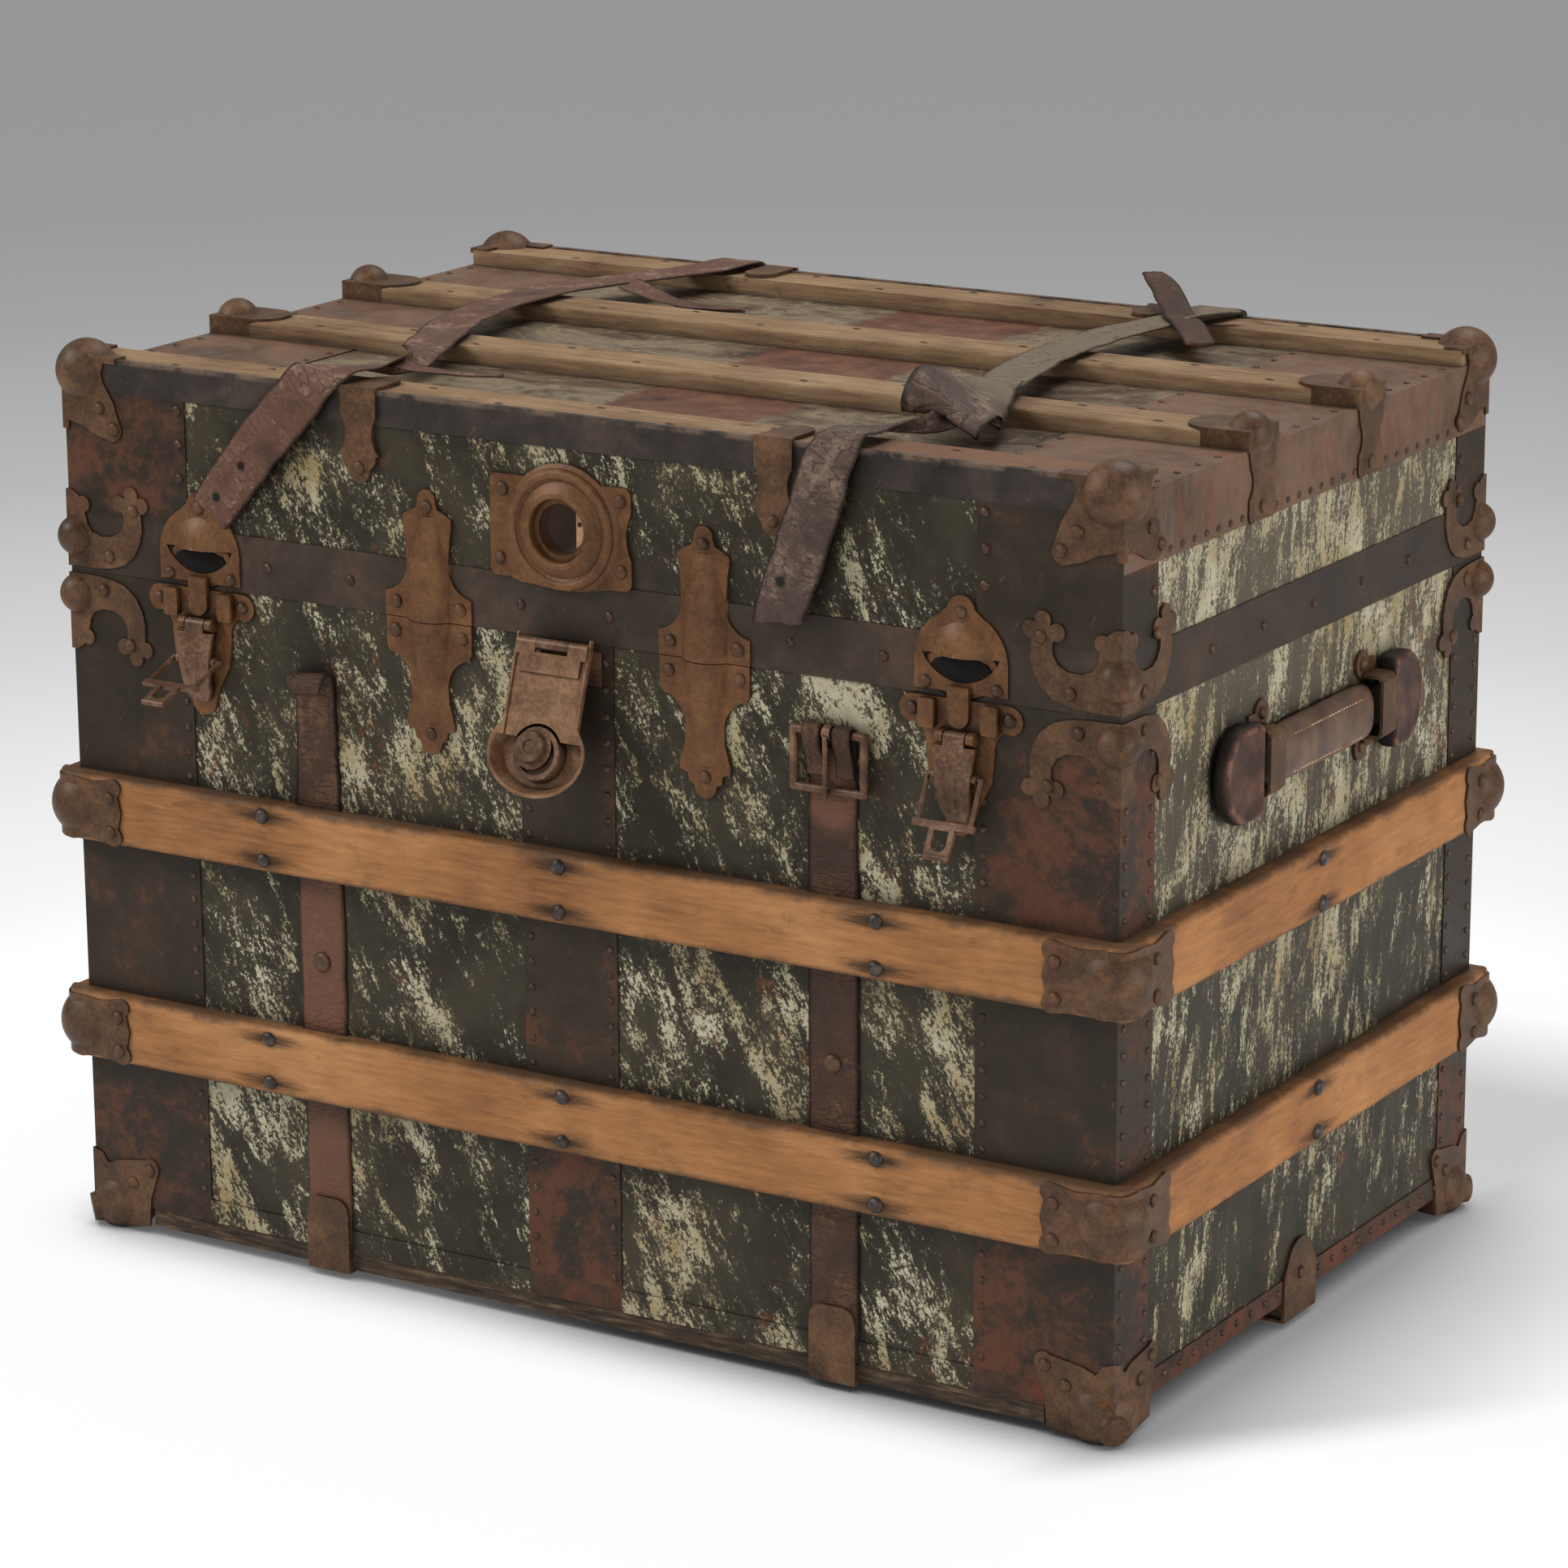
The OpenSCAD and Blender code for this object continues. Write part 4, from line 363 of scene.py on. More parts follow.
dark_band = lacquer_bands(
    "dark_band_iron", (37, 30, 22), (49, 39, 29), (65, 50, 37), (82, 44, 29), 0.75,
    (0.0, -0.26, 0.075, 0.11), (0.39, -0.26, 0.075, 0.12), (0.41, -0.26, 0.41, 0.10),
    (-0.38, -0.26, 0.06, 0.09), (-0.38, -0.26, 0.60, 0.08), (0.433, 0.25, 0.10, 0.12))
grey_band = lacquer_bands(
    "closing_band_iron", (42, 34, 28), (56, 46, 38), (74, 61, 50), (78, 50, 36), 0.4)
end_band = lacquer_bands(
    "end_sheet_iron", (76, 55, 41), (104, 78, 60), (124, 101, 81), (112, 56, 36), 0.85, streaky=0.55)
edge_black = lacquer_bands(
    "edge_angle_iron", (36, 32, 29), (54, 46, 42), (76, 65, 57), (78, 56, 43), 0.35, rubbed_and_lit_arris=0.6)
dark_band.on("case_bands", "lid_bands")
grey_band.on("lid_closing_band")
end_band.on("lid_end_sheets")
edge_black.on("lid_edge_angles")


# Rivets, nails and stitches: each a small dome set on its face. The heads of one kind on one
# body are one piece, made by placing a dome at every spot.
def dome_tree():
    tree = bpy.data.node_groups.new("domes", "GeometryNodeTree")
    for name, kind in (("Spots", "Geometry"), ("Length", "Float"), ("Width", "Float"), ("Height", "Float"),
                       ("Finish", "Material"), ("Seed", "Int")):
        tree.interface.new_socket(name, in_out="INPUT", socket_type="NodeSocket" + kind)
    tree.interface.new_socket("Domes", in_out="OUTPUT", socket_type="NodeSocketGeometry")
    made = tree.nodes.new
    (given, result, ball, shape, sizes, smooth, place, real, dress, vary, outward, along, up, about) = (
        made(kind) for kind in (
            "NodeGroupInput", "NodeGroupOutput", "GeometryNodeMeshUVSphere", "GeometryNodeTransform",
            "ShaderNodeCombineXYZ", "GeometryNodeSetShadeSmooth", "GeometryNodeInstanceOnPoints",
            "GeometryNodeRealizeInstances", "GeometryNodeSetMaterial", "FunctionNodeRandomValue",
            "GeometryNodeInputNamedAttribute", "GeometryNodeInputNamedAttribute",
            "FunctionNodeAlignRotationToVector", "FunctionNodeAlignRotationToVector"))
    for name, value in (("Segments", 10), ("Rings", 6), ("Radius", 1.0)):
        ball.inputs[name].default_value = value
    for reader, name in ((outward, "outward"), (along, "along")):
        reader.data_type = "FLOAT_VECTOR"
        reader.inputs["Name"].default_value = name
    up.axis, about.axis, about.pivot_axis = "Z", "X", "Z"
    vary.data_type = "FLOAT_VECTOR"
    vary.inputs[0].default_value, vary.inputs[1].default_value = (0.88, 0.88, 0.85), (1.08, 1.08, 1.12)
    for a, b in (
            (given.outputs["Length"], sizes.inputs[0]), (given.outputs["Width"], sizes.inputs[1]),
            (given.outputs["Height"], sizes.inputs[2]), (ball.outputs["Mesh"], shape.inputs["Geometry"]),
            (sizes.outputs[0], shape.inputs["Scale"]), (shape.outputs[0], smooth.inputs[0]),
            (given.outputs["Spots"], place.inputs["Points"]), (smooth.outputs[0], place.inputs["Instance"]),
            (outward.outputs[0], up.inputs["Vector"]), (up.outputs[0], about.inputs["Rotation"]),
            (along.outputs[0], about.inputs["Vector"]), (about.outputs[0], place.inputs["Rotation"]),
            (given.outputs["Seed"], vary.inputs["Seed"]), (vary.outputs[0], place.inputs["Scale"]),
            (place.outputs[0], real.inputs[0]), (real.outputs[0], dress.inputs["Geometry"]),
            (given.outputs["Finish"], dress.inputs["Material"]), (dress.outputs[0], result.inputs[0])):
        tree.links.new(a, b)
    return tree


domes = dome_tree()


def fasten(name, body, finish, spots, length, width, height, seed):
    """Makes one piece of domes, at spots of (place, outward) or (place, outward, along)."""
    points = bpy.data.meshes.new(name + "_spots")
    points.from_pydata([s[0] for s in spots], [], [])
    for field, index, plain in (("outward", 1, (0, 0, 1)), ("along", 2, (0.3, 0.4, 0.86))):
        lay = points.attributes.new(field, "FLOAT_VECTOR", "POINT")
        for datum, s in zip(lay.data, spots):
            datum.vector = s[index] if len(s) > index else plain
    carrier = new_object(name + "_spots", points)
    maker = carrier.modifiers.new("domes", "NODES")
    maker.node_group = domes
    keys = {item.name: item.identifier for item in domes.interface.items_tree}
    for key, value in (("Length", length / 2), ("Width", width / 2), ("Height", height),
                       ("Finish", finish.material), ("Seed", seed)):
        maker[keys[key]] = value
    view = bpy.context.evaluated_depsgraph_get()
    made = new_object(name, bpy.data.meshes.new_from_object(carrier.evaluated_get(view)))
    bpy.data.objects.remove(carrier)
    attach(made, body)


def finish_mesh(name, mesh, finish, body, smooth=True):
    """Turns a bmesh into a piece that rides on its body."""
    bmesh.ops.recalc_face_normals(mesh, faces=mesh.faces)
    data = bpy.data.meshes.new(name)
    mesh.to_mesh(data)
    mesh.free()
    data.materials.append(finish.material)
    if smooth:
        data.shade_smooth()
    made = new_object(name, data)
    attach(made, body)
    return made


def between(rings):
    """The faces between closed rings, each as its corners in order; a last ring of one corner is a tip."""
    for one, two in zip(rings, rings[1:]):
        for k, corner in enumerate(one):
            m = (k + 1) % len(one)
            yield (corner, one[m], two[m], two[k]) if len(two) > 1 else (corner, one[m], two[0])


shells = {}


def reach(names, start, inward):
    """The first point on the named nodes from start along inward: distance, point and normal, or None."""
    best = None
    for name in names:
        if name not in shells:
            mesh = trunk[name].data
            shells[name] = BVHTree.FromPolygons([v.co for v in mesh.vertices],
                                                [p.vertices for p in mesh.polygons])
        point, normal, _, away = shells[name].ray_cast(start, inward, 0.14)
        if point is not None and (best is None or away < best[0]):
            best = (away, point, normal)
    return best


def seated(carriers, above, spots):
    """Spots moved on to the carriers, without those that miss them or that lie under what is above."""
    kept = []
    for place, out, *along in spots:
        start, inward = Vector(place) + Vector(out) * 0.07, -Vector(out)
        found, hidden = reach(carriers, start, inward), reach(above, start, inward)
        if found and (hidden is None or hidden[0] > found[0]):
            faces = found[2] if found[2].dot(Vector(out)) > 0.3 else Vector(out)
            kept.append((found[1], faces, *along))
    return kept


def nail_iron(name, dark, brown, bright):
    nail = Finish(name, metallic=0.3, specular=0.4)
    tone = nail.ramp(nail.noise(0.006, 4, 0.7), ((0.3, dark), (0.5, brown), (0.7, bright)))
    return nail.paint(tone, 0.40, nail.noise(0.0015, 3, 0.6), 0.0003)


small_nails = nail_iron("nail_iron", (40, 29, 23), (66, 46, 35), (98, 68, 49))
steel_nails = nail_iron("steel_nails", (38, 32, 30), (56, 48, 45), (92, 78, 70))
front_y, back_y, end_x, slat_top = -0.2601, 0.2989, 0.432, 0.6644
FRONT, BACK, RIGHT, LEFT, UP = (0, -1, 0), (0, 1, 0), (1, 0, 0), (-1, 0, 0), (0, 0, 1)
corner_band, end_band_long, mid_band = 0.107, 0.048, 0.078
body_slats = ("body_slats_front", "body_slats_back", "body_slats_ends")
case_castings = ("slat_corner_clamps", "bottom_corners", "bottom_clamps", "case_crescents", "dowel_sockets",
                 "latch_bases", "handle_loops", "hinge_case_leaves")
lid_castings = ("lid_corners", "lid_crescents", "top_slat_clamps", "lid_edge_clamps", "lock_plate",
                "dowel_lugs", "latch_keepers", "hinge_lid_leaves")
covers = {"case": body_slats + case_castings + ("front_straps", "back_straps"),
          "lid": lid_castings + ("top_slats_outer", "top_slats_inner")}


def row(low, high, step):
    count = max(1, round((high - low) / step))
    return [low + (high - low) * i / count for i in range(count + 1)]


def all_round(distances, z):
    """Spots at one height: on the front and back at each x, on both ends at each y."""
    spots = []
    for x in distances[0]:
        spots += [((x, front_y, z), FRONT), ((x, back_y, z), BACK)]
    for y in distances[1]:
        spots += [((end_x, y, z), RIGHT), ((-end_x, y, z), LEFT)]
    return spots


band_edges = [side * (end_x - corner_band + 0.006) for side in (1, -1)]
mid_edges = [side * (mid_band / 2 - 0.006) for side in (1, -1)]
end_edges = (front_y + end_band_long - 0.006, back_y - end_band_long + 0.006)
case_nails, lid_nails, lid_studs = [], [], []
for z in row(0.046, 0.494, 0.0185):
    case_nails += all_round((band_edges + mid_edges, end_edges), z)
    case_nails += all_round(((), (front_y + 0.007, back_y - 0.007)), z + 0.006)
case_nails += all_round(((), row(front_y + 0.03, back_y - 0.03, 0.022)), 0.0300)
for z in row(0.560, 0.634, 0.0245):
    lid_studs += all_round((band_edges, end_edges), z)
lid_nails += all_round(((), row(front_y + 0.03, back_y - 0.03, 0.0175)), 0.6085)
for y in row(-0.2, 0.24, 0.030):
    lid_nails += [((x, y, 0.653), UP) for x in (-0.305, 0.305, -0.424, 0.424)]
latch_xs = (-0.314, 0.314)
closing_studs = all_round(([x for x in row(-0.40, 0.40, 0.072) if abs(abs(x) - latch_xs[1]) > 0.036],
                           row(-0.21, 0.25, 0.077)), 0.5275)
for seed, (name, body, carriers, spots, width, height) in enumerate((
        ("case_band_nails", "case", ("case_bands", "base_binding"), case_nails, 0.0054, 0.0015),
        ("lid_band_nails", "lid", ("lid_bands", "lid_end_sheets"), lid_nails, 0.0052, 0.0014),
        ("lid_band_studs", "lid", ("lid_bands", "lid_end_sheets"), lid_studs, 0.0078, 0.0022),
        ("closing_band_studs", "lid", ("lid_closing_band",), closing_studs, 0.0074, 0.0020)), 1):
    fasten(name, body, small_nails, seated(carriers, covers[body], spots),
           width, width, height, seed)


# The body slats: steam-bent ash battens, varnished honey brown, lying round the case in two
# courses. Iron nails have stained the wood black about them and the long edges are grey.
def varnish_slats(name, pale, honey, brown, edge_tone, nail_places, lies_on_x):
    wood = Finish(name, specular=0.2)

    def lengthwise(share):
        return (1.0, share, share) if lies_on_x else (share, 1.0, share)

    fibre = wood.noise(0.035, 6, 0.7, lengthwise(0.10), 0.3)
    pores = wood.noise(0.010, 4, 0.75, lengthwise(0.05))
    cloud = wood.noise(0.14, 4, 0.6)
    tone = wood.ramp(fibre * 0.4 + cloud * 0.6, ((0.34, brown), (0.5, honey), (0.66, pale)))
    streaked = wood.mix(wood.step(pores, 0.52, 0.74) * 0.45, tone, brown)
    along = wood.x if lies_on_x else wood.y
    from_mid = abs(wood.z - slat_mids[0]).least(abs(wood.z - slat_mids[1]))
    grime_line = from_mid + (wood.noise(0.05, 4, 0.7) - 0.5) * 0.022
    rubbed = wood.mix(wood.step(grime_line, 0.0195, 0.0265) * 0.8, streaked, edge_tone)
    from_nail = abs(along - nail_places[0])
    for n in nail_places[1:]:
        from_nail = from_nail.least(abs(along - n))
    across = abs(from_mid - slat_nail_rise)
    spread = (from_nail * from_nail * 0.10 + across * across * 2.6) ** 0.5
    ragged = (wood.noise(0.016, 5, 0.75, lengthwise(0.10)) - 0.5) * 0.016
    black = 1 - wood.step(spread + ragged, 0.001, 0.0135)
    blotch = wood.step(wood.noise(0.05, 5, 0.72, lengthwise(0.35)), 0.56, 0.74)
    smudged = wood.mix(blotch * 0.45, rubbed, (84, 58, 38))
    stained = wood.mix(black * 0.9, smudged, (30, 22, 17))
    scuff = wood.step(wood.noise(0.02, 5, 0.78), 0.63, 0.70)
    scuffed = wood.mix(scuff * 0.4, stained, (98, 72, 50))
    # Darkened where pieces meet, from ambient occlusion: dirt and painted shade.
    grimed_and_shaded = wood.grimed_and_shaded(scuffed, (46, 33, 24), 0.7, 0.012, 0.35)
    return wood.paint(grimed_and_shaded, wood.ramp(fibre, ((0.3, 0.50), (0.7, 0.68))), pores * 0.5 + fibre * 0.5, 0.0006)


slat_mids, slat_nail_rise = (0.1625, 0.331), 0.0165
front_nails, end_nails = (-0.256, 0.0, 0.256), (0.015,)
varnish_slats("honey_slat_wood", (184, 134, 88), (156, 108, 66), (116, 76, 44), (78, 60, 45),
              front_nails, True).on("body_slats_front", "body_slats_back")
varnish_slats("end_slat_wood", (188, 134, 84), (158, 107, 64), (114, 74, 45), (80, 60, 45),
              end_nails, False).on("body_slats_ends")
slat_nails = []
for mid in slat_mids:
    for z in (mid - slat_nail_rise, mid + slat_nail_rise):
        slat_nails += all_round((front_nails, end_nails), z)
fasten("slat_nails", "case", steel_nails, seated(body_slats, (), slat_nails),
       0.0118, 0.0118, 0.0036, 5)


# The lid's slats: four flat ash battens along the top, weathered grey khaki, with dirt in the
# grain, small slotted nails and dark stains. The outer ones carry the edge angles.
def weather_slats():
    wood = Finish("weathered_slat_wood", specular=0.2)
    fibre = wood.noise(0.05, 6, 0.7, (1.0, 0.09, 0.09), 0.4)
    pores = wood.noise(0.014, 4, 0.75, (1.0, 0.05, 0.05))
    cloud = wood.noise(0.12, 4, 0.6)
    tone = wood.ramp(fibre * 0.5 + cloud * 0.5, (
        (0.34, (88, 66, 48)), (0.46, (126, 99, 72)), (0.56, (150, 122, 92)), (0.68, (164, 138, 108))))
    pored = wood.mix(wood.step(pores, 0.53, 0.72) * 0.5, tone, (88, 68, 50))
    red_end = wood.step(wood.x + (cloud - 0.5) * 0.06, 0.2, 0.24) * wood.step(-1 * wood.y, 0.2, 0.21)
    reddened = wood.mix(red_end * 0.75, pored, (116, 82, 64))
    stain = wood.step(wood.noise(0.05, 4, 0.7, (1.0, 0.6, 0.6)), 0.6, 0.72)
    stained = wood.mix(stain * 0.7, reddened, (68, 52, 40))
    # Darkened where pieces meet, from ambient occlusion: dirt and painted shade.
    grimed_and_shaded = wood.grimed_and_shaded(stained, (44, 33, 25), 0.75, 0.012, 0.3)
    return wood.paint(grimed_and_shaded, 0.66, pores * 0.6 + fibre * 0.4, 0.0009)


weather_slats().on("top_slats_outer", "top_slats_inner")
top_nails = []
for y in (-0.2386, -0.0646, 0.1034, 0.2774):
    for i, x in enumerate(row(-0.34, 0.36, 0.07)):
        top_nails.append(((x, y + (-0.011, 0.011)[i % 2], slat_top), UP, (1, 0, 0)))
fasten("top_slat_nails", "lid", small_nails, top_nails, 0.008, 0.0028, 0.0008, 6)


# The bottom slats: rough battens under the box, black with floor dirt. The outer two run on behind
# the cast feet, as the dark angles along the lid's edges run on behind its corner irons.
def dirty_slats():
    wood = Finish("dirty_slat_wood", specular=0.3)
    fibre = wood.noise(0.03, 5, 0.7, (1.0, 0.12, 0.12))
    return wood.paint(wood.ramp(fibre, (
        (0.35, (34, 27, 21)), (0.52, (64, 51, 39)), (0.68, (108, 88, 67)))), 0.8, fibre, 0.001)


def run_on(name, node, finish, body, size, overlap, inset):
    """Blocks that carry a node's front and back rows on past their ends: length, depth and lack of height."""
    spots = [v.co for v in trunk[node].data.vertices]
    front, back = min(v.y for v in spots), max(v.y for v in spots)
    row_end = max(v.x for v in spots if v.y < front + 0.040)
    low, high = min(v.z for v in spots), max(v.z for v in spots)
    blocks = bmesh.new()
    for side in (-1, 1):
        for y in (front + inset, back - inset):
            block = bmesh.ops.create_cube(blocks, size=1.0)["verts"]
            bmesh.ops.scale(blocks, verts=block, vec=(size[0], size[1], high - low - size[2]))
            bmesh.ops.translate(blocks, verts=block, vec=(
                side * (row_end + size[0] / 2 - overlap), y, (low + high) / 2))
    finish_mesh(name, blocks, finish, body, False)


dirty_wood = dirty_slats().on("bottom_slats")
run_on("slat_tips", "bottom_slats", dirty_wood, "case",
       (0.010, 0.030, 0.0006), 0.0004, 0.0152)
run_on("angle_tips", "lid_edge_angles", edge_black, "lid",
       (0.018, 0.0008, 0.0004), 0.0001, 0.0004)


# The castings: corners, clamps, crescents, dowels, latches and lock in malleable iron, once
# lacquered. They are rusted an even brown, polished on the high spots and darkened in the hollows by dirt and
# painted shade.
def rust_iron(name, dark, brown, bright, polish=0.40, red=0.45):
    iron = Finish(name, metallic=0.15, specular=0.3)
    cloud = iron.noise(0.028, 5, 0.65)
    pit = iron.noise(0.0035, 4, 0.72)
    tone = iron.ramp(cloud * 0.7 + pit * 0.3, ((0.34, dark), (0.5, brown), (0.66, bright)))
    orange = iron.step(iron.noise(0.016, 5, 0.75), 0.58, 0.68)
    rusted = iron.mix(orange * red, tone, (122, 70, 38))
    # Near-black where pieces meet and in hollows, from ambient occlusion: dirt and painted shade.
    grimed_and_shaded = iron.grimed_and_shaded(rusted, (24, 15, 10), 0.88, 0.009, 0.30)
    return iron.paint(grimed_and_shaded, iron.ramp(cloud * 0.5 + pit * 0.5, ((0.35, polish), (0.65, polish + 0.2))),
                      pit * 0.6 + cloud * 0.4, 0.0005)


brown_iron = rust_iron("brown_cast_iron", (54, 37, 24), (82, 57, 38), (110, 80, 54))
brown_iron.on(*case_castings, *lid_castings)
copper_iron = rust_iron("copper_brown_iron", (74, 46, 26), (98, 65, 37), (120, 83, 50), 0.36, 0.35)
copper_iron.on("dowel_sockets", "dowel_lugs", "latch_bases", "latch_keepers", "lock_plate")
rust_iron("bare_steel", (70, 56, 48), (112, 94, 80), (160, 142, 124), 0.3, 0.2).on("hasp_pin", "hinge_pins")


def at_corners(from_front, from_side, z):
    """A rivet near each of the four corners, on the long faces and on the ends."""
    spots = []
    for side in (1, -1):
        for face_y, inward, out in ((front_y, 1, FRONT), (back_y, -1, BACK)):
            spots.append(((side * (end_x - from_front), face_y, z), out))
            spots.append(((side * end_x, face_y + inward * from_side, z), (side, 0, 0)))
    return spots


def on_face(y, out, x, *spots):
    """Spots at dx, z about one x, on the front or the back."""
    return [((x + dx, y, z), out) for dx, z in spots]


case_rivets, lid_rivets = [], []
for mid in slat_mids:
    case_rivets += at_corners(0.038, 0.023, mid + 0.0108) + at_corners(0.038, 0.023, mid - 0.0150)
case_rivets += at_corners(0.0508, 0.0508, 0.0509) + at_corners(0.035, 0.035, 0.0393)
case_rivets += at_corners(0.0295, 0.0285, 0.4943) + at_corners(0.0523, 0.0500, 0.4557)
lid_rivets += at_corners(0.0317, 0.0343, 0.6290) + at_corners(0.0441, 0.0491, 0.6150)
lid_rivets += at_corners(0.0586, 0.0452, 0.5560) + at_corners(0.0356, 0.0279, 0.5200)
for x in (-0.114, 0.114):
    lid_rivets += on_face(front_y, FRONT, x, (0, 0.588), (-0.027, 0.5178), (0.027, 0.5178))
    case_rivets += on_face(front_y, FRONT, x, (0, 0.425), (-0.0285, 0.497), (0.0285, 0.497))
for x in latch_xs:
    lid_rivets += on_face(front_y, FRONT, x, (0, 0.565), (-0.0273, 0.515), (0.0273, 0.515))
    case_rivets += on_face(front_y, FRONT, x, (-0.037, 0.496), (0.037, 0.496))
lid_rivets += on_face(front_y, FRONT, 0,
                      (-0.0496, 0.6085), (0.0475, 0.6096), (-0.052, 0.5598), (0.048, 0.5605))
lid_rivets += all_round(((-0.170, 0.170), ()), 0.610) + all_round(((), (-0.0646, 0.1034)), 0.612)
for side, out in ((end_x, RIGHT), (-end_x, LEFT)):
    case_rivets.append(((side, 0.0194, 0.037), out))
    case_rivets += [((side, y, z), out) for y in (-0.0596, 0.0984) for z in (0.407, 0.467)]
for x in (-0.3, 0.0, 0.3):
    for rivets, low, high, tip in ((case_rivets, 0.454, 0.479, 0.4515), (lid_rivets, 0.521, 0.544, 0.5625)):
        rivets += on_face(back_y, BACK, x,
                          (-0.019, low), (-0.019, high), (0.019, low), (0.019, high), (0, tip))
for body, castings, rivets, seed in (
        ("case", case_castings, case_rivets, 7), ("lid", lid_castings, lid_rivets, 8)):
    fasten(body + "_cast_rivets", body, brown_iron, seated(castings, (), rivets),
           0.0100, 0.0100, 0.0032, seed)


# The hasp, its plug and the two latches: pressed and cast iron handled at every closing, so
# it is rubbed paler than the fixed castings, pinkish tan on the flap, and darkened in the cup by dirt and
# painted shade.
rust_iron("rubbed_tan_iron", (84, 57, 40), (116, 84, 60), (144, 110, 82), 0.32, 0.35).on("hasp")
red_iron = rust_iron("rubbed_red_iron", (62, 42, 31), (92, 65, 48), (132, 101, 78), 0.32, 0.40)
red_iron.on("lock_plug", "hasp_leaf", "latch_lever_left", "latch_lever_right", "latch_bail_left",
            "latch_bail_right", "buckle_frame", "buckle_prong")


# The latch keepers' mouths: a rusty back to each hooded eye, and on it a near-black oval of painted shade
# that stands for the hollow within it that the bail's end enters.
mouth_shade = Finish("painted_mouth_shade", specular=0.2).paint((15, 11, 9), 0.8)
for name, finish, y, z, length, width in (("keeper_backs", copper_iron, -0.2611, 0.5245, 0.064, 0.036),
                                          ("keeper_mouth_shades", mouth_shade, -0.2616, 0.5250, 0.050, 0.020)):
    fasten(name, "lid", finish,
           [((x, y, z), FRONT, (1, 0, 0)) for x in latch_xs], length, width, 0.0006, 11)


# The lock's works: a rusty cup behind the plate's hole, painted darker towards its floor as shade, and the
# striker's pale brass tongue that shows at its right, its one hole a painted dark spot of shade. The hasp's
# plug turns in this cup when the lid is shut.
lock_z, tongue_y = 0.585, -0.2570
tongue_hole = (0.0105, tongue_y, 0.5885)


def lathe(mesh, profile, around=40):
    """A surface turned about an axis through the lock, from (radius, y) pairs."""
    turns = [2 * math.pi * i / around for i in range(around)]
    rings = [[mesh.verts.new((radius * math.cos(a), y, lock_z + radius * math.sin(a)))
              for a in (turns if radius else (0,))] for radius, y in profile]
    for corners in between(rings):
        mesh.faces.new(corners)


def lock_works():
    pocket = Finish("lock_cup_depth_shade", metallic=0.2, specular=0.3)
    # The cup is painted darker the deeper it goes: painted shade.
    depth_shade = pocket.step(pocket.y, -0.262, -0.248)
    pocket.paint(pocket.mix(depth_shade, (92, 68, 52), (18, 12, 9)), 0.6, pocket.noise(0.003, 4, 0.7), 0.0004)
    tongue = Finish("pale_brass_tongue", metallic=0.1, specular=0.4)
    tone = tongue.ramp(tongue.noise(0.012, 4, 0.6), ((0.3, (170, 122, 88)), (0.7, (206, 164, 128))))
    # The tongue's hole is a near-black spot painted on it: painted shade.
    hole_shade = 1 - tongue.step(tongue.away(tongue_hole), 0.0016, 0.0021)
    tongue.paint(tongue.mix(hole_shade, tone, (34, 16, 8)), 0.5)
    cup = bmesh.new()
    lathe(cup, ((0.0186, -0.2612), (0.0180, -0.2560), (0.0150, -0.2535), (0.0, -0.2530)))
    made = finish_mesh("lock_cup", cup, pocket, "lid")
    made.data.flip_normals()
    blade = bmesh.new()
    turns = [math.radians(d) for d in range(-60, 61, 8)]
    rings = [[blade.verts.new((0.0005 + 0.0145 * math.cos(a) * size, y, lock_z + 0.0155 * math.sin(a) * size))
              for a in turns] for y, size in ((tongue_y, 1.0), (tongue_y + 0.0012, 0.97))]
    for corners in (*rings, *between(rings)):
        blade.faces.new(corners)
    finish_mesh("lock_tongue", blade, tongue, "lid", False)


lock_works()


